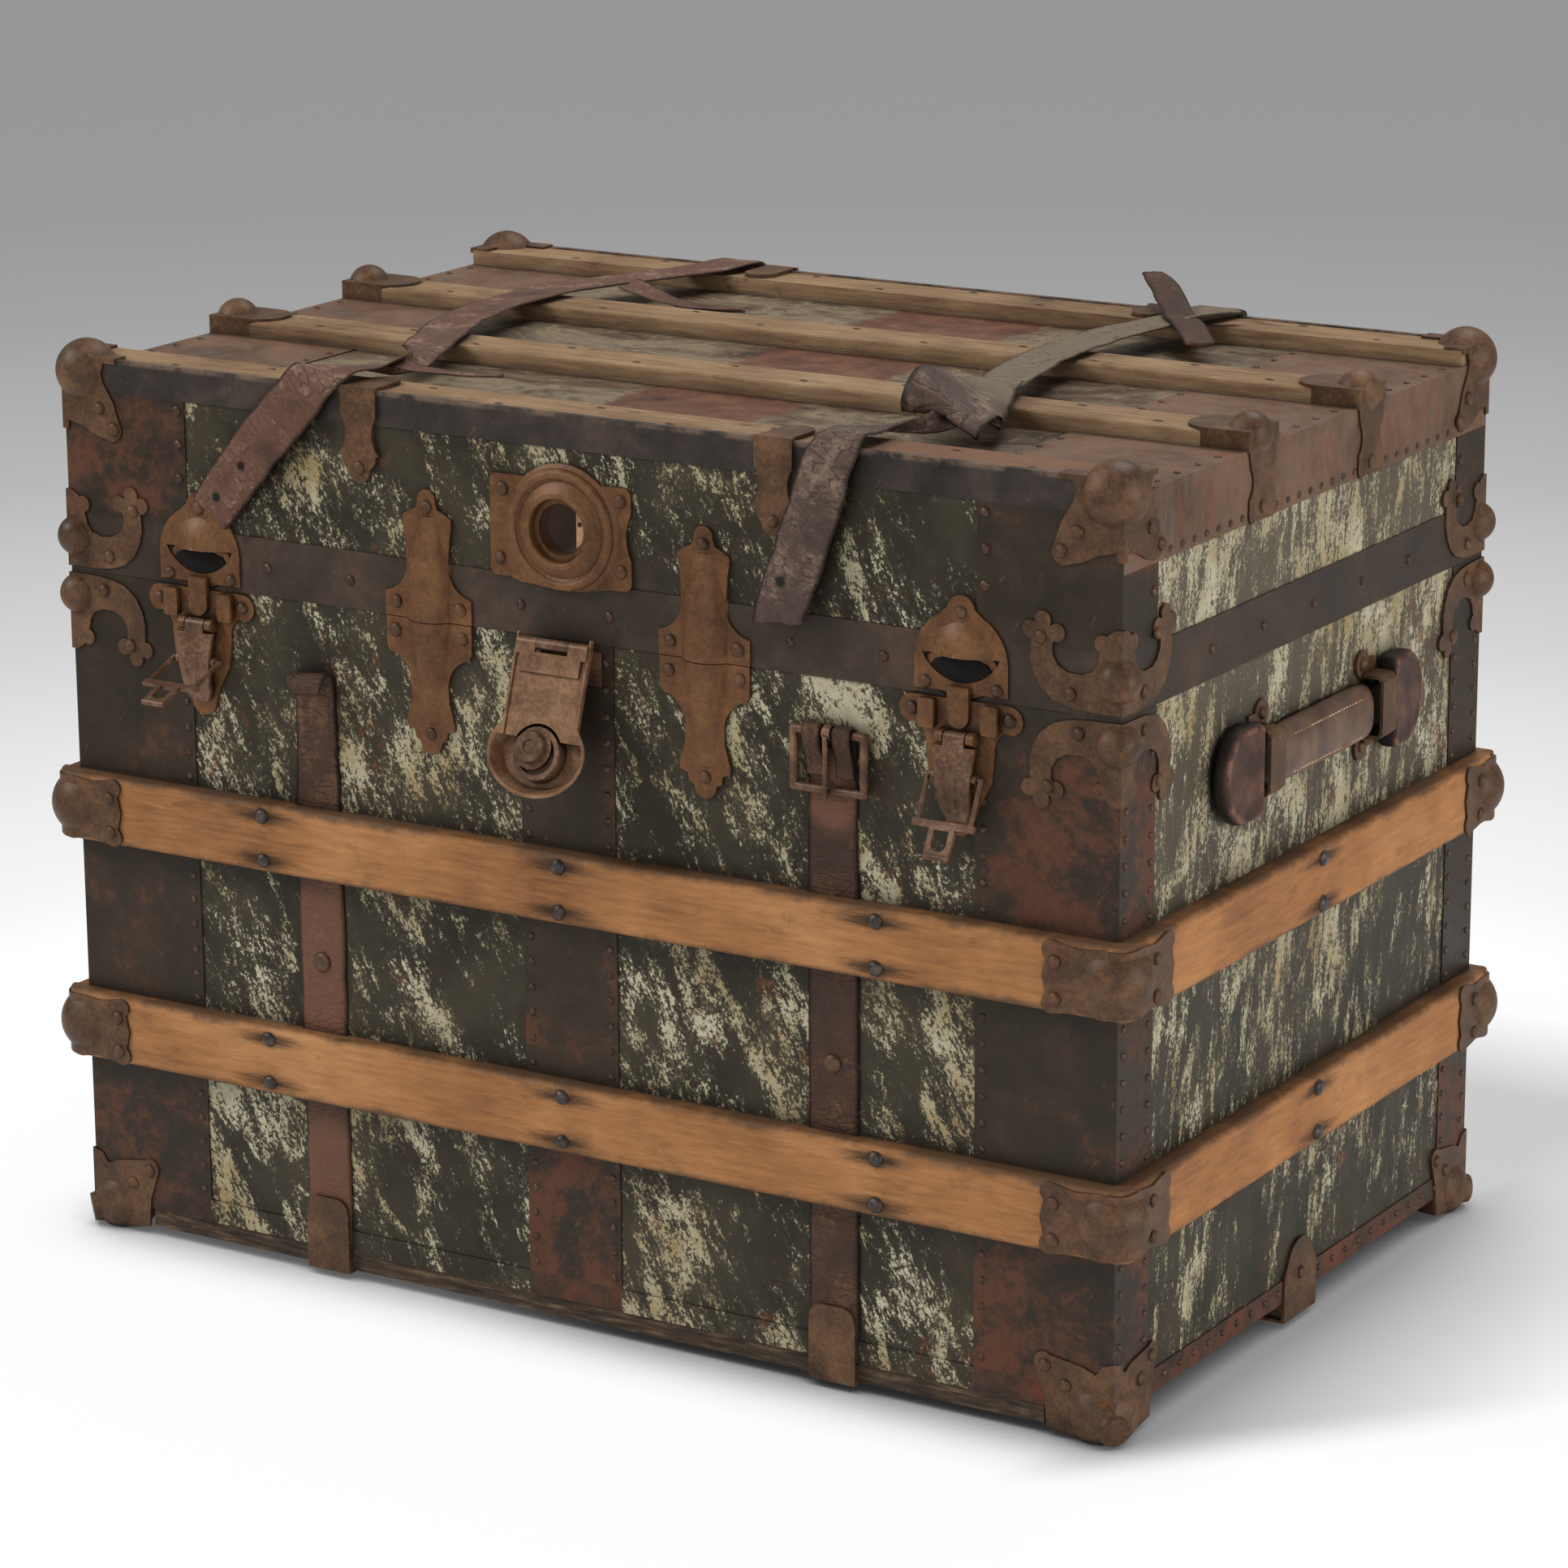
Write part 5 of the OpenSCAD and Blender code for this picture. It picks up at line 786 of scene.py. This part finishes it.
# The straps on the case: dark bridle leather passed under the slats and riveted once. The left
# one has lost its buckle and curls over at the top, the right one loops round the buckle's bar.
def tan_leather(name, dark, brown, pale, worn, dried=None, rubbed=(), hole_shades=()):
    """Leather read along its own strip: u runs across it, v along it in metres."""
    hide = Finish(name, specular=0.25)
    across = hide.parts(hide.run())[0]
    flat = hide.scaled(hide.run(), (0.04, 1.0, 1.0))
    cloud = hide.noise(0.035, 5, 0.65)
    grain = hide.noise(0.0022, 4, 0.7)
    tone = hide.ramp(cloud * 0.75 + grain * 0.25, ((0.33, dark), (0.5, brown), (0.68, pale)))
    if dried:
        tone = hide.mix(hide.step(hide.y + (cloud - 0.5) * 0.10, -0.156, -0.060), tone, dried)
    creases = hide.cells(0.006, "DISTANCE_TO_EDGE", hide.scaled(flat, (0.35, 1.0, 1.0)))
    crackle = hide.cells(0.0016, "DISTANCE_TO_EDGE", flat)
    cracks = (1 - hide.step(creases, 0.0, 0.10)) * hide.step(cloud, 0.44, 0.60)
    crazed = hide.mix(cracks * 0.7, tone, (32, 21, 17))
    scuffs = hide.step(hide.noise(0.009, 5, 0.8, place=flat) + (cloud - 0.5) * 0.8, 0.55, 0.68)
    scuffed = hide.mix(scuffs * 0.55, crazed, worn)
    rim = hide.step(abs(across - 0.5) + (cloud - 0.5) * 0.05, 0.42, 0.49)
    edged = hide.mix(rim * 0.75, scuffed, (34, 24, 20))
    if rubbed:
        edged = hide.mix(hide.around(*rubbed) * 0.6, edged, (116, 78, 60))
    # Each strap hole is a near-black spot painted on the leather: painted shade, with no opening cut.
    if hole_shades:
        edged = hide.mix(hide.around(*hole_shades), edged, (14, 9, 8))
    relief = hide.step(creases, 0.0, 0.12) * 0.5 + hide.step(crackle, 0.0, 0.25) * 0.15 + grain * 0.35
    # Darkened where pieces meet, from ambient occlusion: dirt and painted shade.
    return hide.paint(hide.grimed_and_shaded(edged, (28, 19, 16), 0.7, 0.015, 0.3),
                      hide.ramp(cloud, ((0.3, 0.42), (0.7, 0.66))), relief, 0.0007)


def smooth_through(stops, steps):
    """Points of a smooth line through the stops, each stop a row of numbers, as the solid's route is."""
    line = []
    last = len(stops) - 1
    for i in range(last):
        a, b, c, d = (stops[max(0, min(last, i + k))] for k in (-1, 0, 1, 2))
        for k in range(steps):
            t = k / steps
            line.append([0.5 * (2 * q + (r - p) * t + (2 * p - 5 * q + 4 * r - s) * t * t
                                + (3 * q - p - 3 * r + s) * t ** 3) for p, q, r, s in zip(a, b, c, d)])
    line.append(list(stops[-1]))
    return line


def strip_frames(stops, steps=14):
    """Along a route of x, y, z, across x, y, z and half width: run, centre, across, out and half width."""
    line = smooth_through(stops, steps)
    rows, run = [], 0.0
    for i, now in enumerate(line):
        centre = Vector(now[:3])
        ahead = Vector(line[min(i + 1, len(line) - 1)][:3]) - Vector(line[max(i - 1, 0)][:3])
        out = ahead.normalized().cross(Vector(now[3:6])).normalized()
        across = out.cross(ahead.normalized()).normalized()
        if i:
            run += (centre - rows[-1][1]).length
        rows.append((run, centre, across, out, now[6]))
    return rows


def frame_at(rows, run):
    run = max(0.0, min(rows[-1][0], run))
    for one, two in zip(rows, rows[1:]):
        if run <= two[0]:
            t = (run - one[0]) / max(two[0] - one[0], 1e-9)
            return [one[k].lerp(two[k], t) for k in (1, 2, 3)] + [one[4] * (1 - t) + two[4] * t]
    return [rows[-1][k] for k in (1, 2, 3, 4)]


def lay_strip(mesh, stops, thick, torn, ripple, seed, spacing=0.003, columns=10, nibble=0.0, skew=0.0):
    """Adds a closed leather strip with rounded edges, torn ends and a slight ripple to a bmesh."""
    rows = strip_frames(stops)
    length = rows[-1][0]
    count = max(4, round(length / spacing))
    fade = max(0.012, 2.2 * max(torn) + 2 * skew)
    layer = mesh.loops.layers.uv.verify() if mesh.loops.layers.uv else mesh.loops.layers.uv.new("run")
    rings = []
    for i in range(count + 1):
        along = length * i / count
        ring = []
        for j in list(range(columns + 1)) + list(range(columns - 1, 0, -1)):
            a = 2 * j / columns - 1
            upper = len(ring) <= columns
            rag = 0.5 + 0.5 * noise.noise(Vector((a * 2.3, seed, 3.1)))
            rag += 0.35 * noise.noise(Vector((a * 7, seed, 9.7)))
            starts = (torn[0] * rag + skew * (a + 1) / 2) * max(0.0, 1 - along / fade)
            at = along + starts - torn[1] * rag * max(0.0, 1 - (length - along) / fade)
            centre, across, out, half = frame_at(rows, at)
            side_seed = 5.0 if a > 0 else 11.0
            eaten = nibble * max(0.0, noise.noise(Vector((at * 60, side_seed, seed))) + 0.15)
            body_half = (thick / 2) * (1 - abs(a) ** 5) ** 0.5
            lift = ripple * (noise.noise(Vector((at * 26, a * 0.9, seed))) + 0.5) + ripple * 1.2 * a * a
            lift += body_half if upper else -body_half
            place = centre + across * (a * (half - eaten)) + out * lift
            ring.append((mesh.verts.new(place), (a + 1) / 2, at))
        rings.append(ring)

    def face(corners):
        made = mesh.faces.new([c[0] for c in corners])
        made.smooth = True
        for loop, corner in zip(made.loops, corners):
            loop[layer].uv = corner[1:]

    for corners in between(rings):
        face(corners)
    size = len(rings[0])
    for ring in (rings[0], rings[-1]):
        for k in range(columns):
            low, high = -k % size, -(k + 1) % size
            corners = [ring[k], ring[k + 1], ring[high], ring[low]]
            face([c for n, c in enumerate(corners) if c not in corners[:n]])


def leather_piece(name, mesh, hide, body, *nodes):
    made = finish_mesh(name, mesh, hide, body)
    if nodes:
        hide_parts(*nodes)


bridle = tan_leather("bridle_leather", (43, 28, 20), (66, 44, 31), (92, 61, 43), (108, 78, 58), rubbed=(
    (-0.215, -0.262, 0.24, 0.085), (-0.215, -0.262, 0.08, 0.06), (0.215, -0.262, 0.425, 0.03)))
strap_x, strap_half, strap_thick, floor_z = 0.215, 0.020, 0.0028, 0.021
on_case = front_y - strap_thick / 2 - 0.0002
bar_y, bar_z, loop_r = -0.2666751, 0.471, 0.0046


def upright(x, *stops):
    """A route up the front at one x, from (y, height, half width)."""
    return [(x, y, z, 1, 0, 0, half) for y, z, half in stops]


front_leather = bmesh.new()
flat_run = [(on_case, z, strap_half) for z in (floor_z + 0.001, 0.16, 0.33)]
lay_strip(front_leather, upright(-strap_x, *flat_run, (on_case, 0.40, 0.0185)) + [
    (-strap_x, on_case - 0.0005, 0.432, 1, 0.02, 0, 0.0175),
    (-strap_x, on_case - 0.003, 0.449, 1, 0.08, 0, 0.0180),
    (-strap_x, on_case - 0.008, 0.4565, 1, 0.1, 0.1, 0.0185),
    (-strap_x + 0.001, on_case - 0.0135, 0.4545, 1, 0.1, 0.1, 0.017),
    (-strap_x + 0.002, on_case - 0.0155, 0.4475, 1, 0, 0.1, 0.0150),
    (-strap_x + 0.003, on_case - 0.0120, 0.4425, 1, 0, 0, 0.0130)],
    strap_thick, (0.0, 0.006), 0.0003, 1.7, nibble=0.0012)
lay_strip(front_leather, upright(strap_x, *flat_run, (on_case, 0.42, 0.0192), (on_case, 0.4600, 0.0190)),
          strap_thick, (0.0, 0.0), 0.0002, 4.4, nibble=0.0006)
round_bar = [(bar_y + loop_r * math.cos(math.radians(d)), bar_z + loop_r * math.sin(math.radians(d)), 0.0072)
             for d in range(0, 181, 36)]
for side in (-1, 1):
    lay_strip(front_leather, upright(
        strap_x + side * 0.0118, (bar_y + loop_r, 0.456, 0.0072), *round_bar,
        (bar_y - loop_r + 0.0006, 0.4640, 0.0072), (bar_y - 0.0004, 0.4545, 0.0074),
        (bar_y + 0.0020, 0.4460, 0.0076), (bar_y + 0.0022, 0.4385, 0.0076)),
        0.0023, (0.0, 0.003), 0.0001, 6.0 + side, 0.0016, 6)
leather_piece("front_strap_leather", front_leather, bridle, "case", "front_straps")
back_leather = bmesh.new()
for x in (-strap_x, strap_x):
    lay_strip(back_leather, [(x, back_y + strap_thick / 2 + 0.0002, z, -1, 0, 0, strap_half)
                             for z in (floor_z + 0.001, 0.16, 0.33, 0.481)],
              strap_thick, (0.0, 0.004), 0.0003, x * 9, nibble=0.0010)
leather_piece("back_strap_leather", back_leather, bridle, "case", "back_straps")
strap_studs = [((-strap_x, on_case - 0.0016, 0.241), FRONT), ((strap_x, on_case - 0.0016, 0.237), FRONT),
               ((-strap_x, back_y + 0.0031, 0.241), BACK), ((strap_x, back_y + 0.0031, 0.241), BACK)]
fasten("strap_studs", "case", red_iron, strap_studs, 0.0155, 0.0155, 0.0030, 9)


# The straps of the lid: two long leather straps that lie loose over the slats, hang over the
# front and the back, twist where they have dried, and end in torn tips. A stray keeper loop
# of the same leather crosses the right one at the back.
oxblood = tan_leather(
    "oxblood_strap_leather", (63, 41, 33), (97, 66, 53), (121, 91, 75), (148, 122, 104),
    hole_shades=((-0.266, -0.272, 0.603, 0.0052), (-0.289, -0.272, 0.578, 0.0052)))
dried_hide = tan_leather(
    "dried_strap_leather", (49, 38, 33), (79, 61, 53), (110, 90, 78), (138, 119, 103), (108, 94, 76),
    hole_shades=((0.184, -0.2755, 0.573, 0.006),))
front_lay = front_y - 0.003
left_route = (
    (-0.301, -9, -103.4, 0.77, 0, -0.64, 18.5), (-0.278, -9, -76.4, 0.77, 0, -0.64, 19.5),
    (-0.245, -9, -37.4, 0.79, 0, -0.61, 20.5), (-0.219, -7, -9.4, 0.85, 0, -0.52, 20),
    (-0.207, -1, 5.6, 0.96, 0.1, -0.25, 20), (-0.201, 16, 10.6, 1, 0.1, 0, 20),
    (-0.195, 45, 8.2, 1, 0.15, 0.1, 18), (-0.189, 70, 6.6, 0.8, 0.3, 0.5, 13),
    (-0.189, 88, 4.6, 0.1, 0.2, 1, 9), (-0.194, 106, 4.6, -0.8, 0, 0.6, 12),
    (-0.208, 135, 3.6, -1, -0.3, 0.1, 17), (-0.228, 180, 3, -0.95, -0.4, 0, 19.5),
    (-0.252, 243, 3, -0.97, -0.25, 0, 20), (-0.266, 320, 3, -1, 0, 0, 20),
    (-0.262, 400, 3, -1, 0.2, 0, 20), (-0.236, 460, 3, -0.95, 0.3, 0, 19),
    (-0.214, 520, 3, -0.98, 0.25, 0, 20), (-0.206, 552, 4.2, -1, 0, 0, 20),
    (-0.206, 568, 0.1, -1, 0, 0, 20), (-0.206, 567, -24.4, -1, 0, 0, 20), (-0.206, 567, -62.4, -1, 0, 0, 20))
right_route = (
    (0.1755, -11, -130.4, 0.95, 0, -0.32, 19), (0.186, -13, -101.4, 0.95, 0, -0.33, 20),
    (0.199, -13, -66.4, 0.94, 0, -0.34, 20.5), (0.211, -10, -27.4, 0.96, 0, -0.25, 20),
    (0.217, -5, -3.4, 0.99, 0, -0.1, 20), (0.219, 8, 9.6, 1, -0.1, 0, 19),
    (0.221, 32, 8.6, 1, -0.15, 0, 17), (0.227, 62, 5.6, 0.9, -0.2, 0.4, 10),
    (0.235, 84, 3.6, 0.2, -0.2, 1, 7), (0.243, 100, 5.6, -0.5, 0.2, 0.85, 10),
    (0.245, 118, 11.6, -0.8, 0.3, 0.55, 18), (0.236, 150, 9.6, -0.95, 0.1, 0.2, 21),
    (0.216, 220, 3.6, -0.97, -0.2, 0, 20), (0.198, 300, 3, -1, -0.15, 0, 20),
    (0.190, 370, 3, -1, 0, 0, 20), (0.193, 450, 3, -1, 0.1, 0, 20),
    (0.206, 510, 3, -0.97, 0.25, 0, 20), (0.214, 552, 4.2, -1, 0, 0, 20),
    (0.215, 568, 0.1, -1, 0, 0, 20), (0.215, 567, -24.4, -1, 0, 0, 20), (0.215, 567, -62.4, -1, 0, 0, 20))
loop_route = (
    (0.150, 578, 23.6, 0.6, 0.75, 0, 9), (0.172, 556, 17.6, 0.6, 0.75, 0.2, 11),
    (0.205, 515, 7.3, 0.7, 0.7, 0, 12), (0.240, 468, 7.5, 0.75, 0.65, 0, 12),
    (0.268, 428, 3.6, 0.8, 0.6, 0, 11))
leaf_route = (
    (0.219, 224, 6, 1, 0, 0, 17), (0.228, 186, 10, 0.97, 0, -0.2, 21),
    (0.240, 146, 14, 0.88, -0.03, -0.42, 28), (0.249, 112, 17, 0.82, -0.05, -0.56, 35),
    (0.250, 101, 14.5, 0.82, -0.05, -0.56, 36),
    (0.2505, 97, 9, 0.82, -0.05, -0.56, 35), (0.251, 100, 4, 0.82, -0.05, -0.56, 32))
left_shred = (
    (-0.186, 66, 6.5, 0.1, 1, 0.3, 8), (-0.160, 62, 5, 0, 1, 0.2, 7), (-0.132, 64, 4, 0.2, 1, 0, 6),
    (-0.112, 74, 3.2, 0.4, 1, 0, 4.5), (-0.100, 82, 2.4, 0.5, 0.9, 0, 2.5))
back_shred = (
    (-0.222, 424, 4.5, 0, 1, 0.3, 10), (-0.196, 416, 0.5, 0, 1, 0.3, 10), (-0.164, 414, -5.0, 0.2, 1, 0, 8),
    (-0.138, 424, -7.5, 0.4, 1, 0, 6), (-0.120, 436, -8.5, 0.4, 1, 0, 4))
flap_route = (
    (0.212, 496, 6.0, 0.8, -0.6, 0.3, 9), (0.224, 512, 7.5, 0.8, -0.6, 0.5, 8),
    (0.238, 526, 9.0, 0.8, -0.6, 0.5, 6), (0.248, 536, 10.0, 0.8, -0.6, 0.3, 4))


def laid(route):
    """A route in metres: its x is written so, and its y behind the front, its height above the slats and
    its half width are in millimetres."""
    return [(x, front_lay + y / 1000, slat_top + z / 1000, *across, half / 1000)
            for x, y, z, *across, half in route]


left_leather, right_leather, loop_leather = bmesh.new(), bmesh.new(), bmesh.new()
lay_strip(left_leather, laid(left_route), 0.0030, (0.012, 0.0), 0.0008, 2.3, nibble=0.0020)
lay_strip(left_leather, laid(left_shred), 0.0016, (0.0, 0.006), 0.0012, 8.1, 0.002, 6, 0.0020)
lay_strip(left_leather, laid(back_shred), 0.0018, (0.0, 0.008), 0.0014, 5.2, 0.002, 6, 0.0020)
lay_strip(right_leather, laid(right_route), 0.0030, (0.004, 0.0), 0.0008, 7.9, nibble=0.0020, skew=0.017)
lay_strip(right_leather, laid(leaf_route), 0.0022, (0.0, 0.003), 0.0018, 3.3, 0.002, 14, 0.0030)
lay_strip(right_leather, laid(flap_route), 0.0024, (0.0, 0.006), 0.0010, 1.1, 0.002, 8, 0.0015)
lay_strip(loop_leather, laid(loop_route), 0.0030, (0.004, 0.004), 0.0004, 9.4, 0.0025, nibble=0.0010)
leather_piece("left_lid_strap", left_leather, oxblood, "lid", "lid_strap_left")
leather_piece("right_lid_strap", right_leather, dried_hide, "lid", "lid_strap_right")
leather_piece("stray_keeper_loop", loop_leather, bridle, "lid", "strap_loop")


# The handles: a stitched leather grip rolled round a flat strap, which runs through the two
# iron loops and ends in thick half-round stops faced with red leather.
def stitched_grip():
    hide = Finish("grip_leather", specular=0.3)
    cloud = hide.noise(0.03, 5, 0.6)
    grain = hide.noise(0.002, 4, 0.7)
    tone = hide.ramp(cloud * 0.8 + grain * 0.2, (
        (0.34, (66, 47, 38)), (0.5, (90, 67, 54)), (0.66, (114, 88, 70))))
    seam = 1 - hide.step(hide.z + (cloud - 0.5) * 0.004, 0.4165, 0.4205)
    # Darkened where pieces meet, from ambient occlusion: dirt and painted shade.
    grimed_and_shaded = hide.grimed_and_shaded(hide.mix(seam * 0.8, tone, (120, 76, 50)), (28, 20, 17), 0.7, 0.012, 0.3)
    return hide.paint(grimed_and_shaded, 0.45, grain * 0.5 + cloud * 0.5, 0.0005)


def stop_leather():
    hide = Finish("handle_stop_leather", specular=0.25)
    from_middle = hide.parts(hide.run())[0]
    cloud = hide.noise(0.02, 5, 0.65)
    red = hide.ramp(cloud, ((0.34, (50, 31, 24)), (0.5, (72, 44, 34)), (0.68, (96, 64, 51))))
    # A pale ring round the face's rim: worn leather and a painted highlight.
    rim = hide.step(from_middle, 0.84, 0.90) * (1 - hide.step(from_middle, 0.98, 1.02))
    worn_and_lit_rim = hide.mix(rim * hide.step(cloud, 0.42, 0.56) * 0.6, red, (126, 92, 76))
    # The sides behind the rim are painted near-black: painted shade.
    shaded_sides = hide.mix(hide.step(from_middle, 1.0, 1.10), worn_and_lit_rim, (30, 23, 20))
    # Darkened where pieces meet, from ambient occlusion: dirt and painted shade.
    return hide.paint(hide.grimed_and_shaded(shaded_sides, (24, 17, 15), 0.6, 0.010, 0.3), 0.5,
                      hide.noise(0.002, 4, 0.7) + cloud, 0.0004)


def thread():
    linen = Finish("linen_thread", specular=0.3)
    return linen.paint(linen.ramp(linen.noise(0.02, 3, 0.6), (
        (0.4, (150, 104, 66)), (0.6, (196, 170, 140)))), 0.7)


grip_hide, stop_hide, linen_thread = stitched_grip(), stop_leather(), thread()
handle_y, handle_z, handle_gap = 0.0194247, 0.4348, 0.0033
grip_half, grip_high, grip_thick = 0.0755, 0.042, 0.0130
stop_inner, stop_r, stop_rise, stop_cut, stop_thick = 0.104, 0.0355, 0.0335, 0.0155, 0.0130


def grip_bulge(y, z):
    """How far the grip's outer face stands from its flat back at a place on it."""
    up = min(1.0, abs(z) / (grip_high / 2))
    near_end = max(0.0, abs(y) / grip_half - 0.90) / 0.10
    return grip_thick * (1 - up ** 3.2) ** 0.5 * (1 - 0.35 * near_end ** 2)


def roll_grip(inner, side):
    """The rolled grip: a flat back and a bulging face, drawn in at both ends."""
    grip, rings = bmesh.new(), []
    rises = [grip_high / 2 * math.sin(math.radians(d)) for d in range(-90, 91, 9)]
    for d in range(-90, 91, 4):
        y = grip_half * math.sin(math.radians(d))
        drawn = 1 - 0.10 * (abs(y) / grip_half) ** 6
        ring = [(inner + side * max(grip_bulge(y, z), 0.0004), handle_y + y, handle_z + z * drawn)
                for z in rises]
        ring += [(inner, handle_y + y, handle_z + z * drawn) for z in reversed(rises[1:-1])]
        rings.append([grip.verts.new(place) for place in ring])
    for corners in (*between(rings), rings[0], rings[-1]):
        grip.faces.new(corners)
    return grip


def cut_stops(inner, side, around=48):
    """Both half-round stops; their map runs from 0 in the face's middle to 1 at its rim and 1.8 behind."""
    stops = bmesh.new()
    layer = stops.loops.layers.uv.new("run")
    turns = [2 * math.pi * i / around for i in range(around)]
    outline = [(max(-stop_cut, stop_r * math.cos(a)), min(stop_rise, max(-stop_rise, stop_r * math.sin(a))))
               for a in turns]
    hoops = ((0.45, 0.0008, 0.45), (0.82, 0.0004, 0.82), (0.88, 0.0010, 0.88), (0.95, 0.0006, 0.97),
             (1.0, -0.0022, 1.06), (1.01, -0.0065, 1.2), (1.0, 0.0022 - stop_thick, 1.4),
             (0.95, -stop_thick, 1.6))
    for end in (-1, 1):
        middle = handle_y + end * (stop_inner + stop_cut)

        def corner(out, away, rise, from_middle):
            return stops.verts.new((inner + side * out, middle + end * away, handle_z + rise)), from_middle

        rings = []
        for size, height, from_middle in hoops:
            lean = -0.06 if height > -0.008 else 0
            rings.append([corner(stop_thick + height + lean * away * size, away * size, rise * size,
                                 from_middle) for away, rise in outline])
        face_hub, back_hub = corner(stop_thick + 0.0008, 0, 0, 0.0), corner(0, 0, 0, 1.8)
        steps = [(i, (i + 1) % around) for i in range(around)]
        panels = [(face_hub, rings[0][i], rings[0][j]) for i, j in steps]
        panels += [(back_hub, rings[-1][j], rings[-1][i]) for i, j in steps]
        for one, two in zip(rings, rings[1:]):
            panels += [(one[i], two[i], two[j], one[j]) for i, j in steps]
        for panel in panels:
            made = stops.faces.new([vertex for vertex, _ in panel])
            for loop, (_, from_middle) in zip(made.loops, panel):
                loop[layer].uv = (from_middle, 0.0)
    return stops


def handle_on(side, name, body):
    inner = side * (end_x + handle_gap)
    neck = bmesh.new()
    lay_strip(neck, [(inner + side * 0.0030, handle_y + y, handle_z, 0, 0, side, 0.0178)
                     for y in (-0.138, -0.09, 0.0, 0.09, 0.138)], 0.0056, (0.0, 0.0), 0.0001, 2.0, 0.006, 8)
    leather_piece(name + "_neck", neck, bridle, body, name)
    leather_piece(name + "_grip", roll_grip(inner, side), grip_hide, body)
    leather_piece(name + "_stops", cut_stops(inner, side), stop_hide, body)
    stitches = []
    for z in (-0.0135, 0.0135):
        for y in row(-0.052, 0.052, 0.0046):
            place = (inner + side * (grip_bulge(y, z) - 0.0001), handle_y + y, handle_z + z)
            stitches.append((place, (side, 0, math.copysign(0.35, z)), (0, 1, 0)))
    fasten(name + "_stitches", body, linen_thread, stitches, 0.0032, 0.0015, 0.0009, 10)


handle_on(1, "handle_right", "handle_right_body")
handle_on(-1, "handle_left", "handle_left_body")
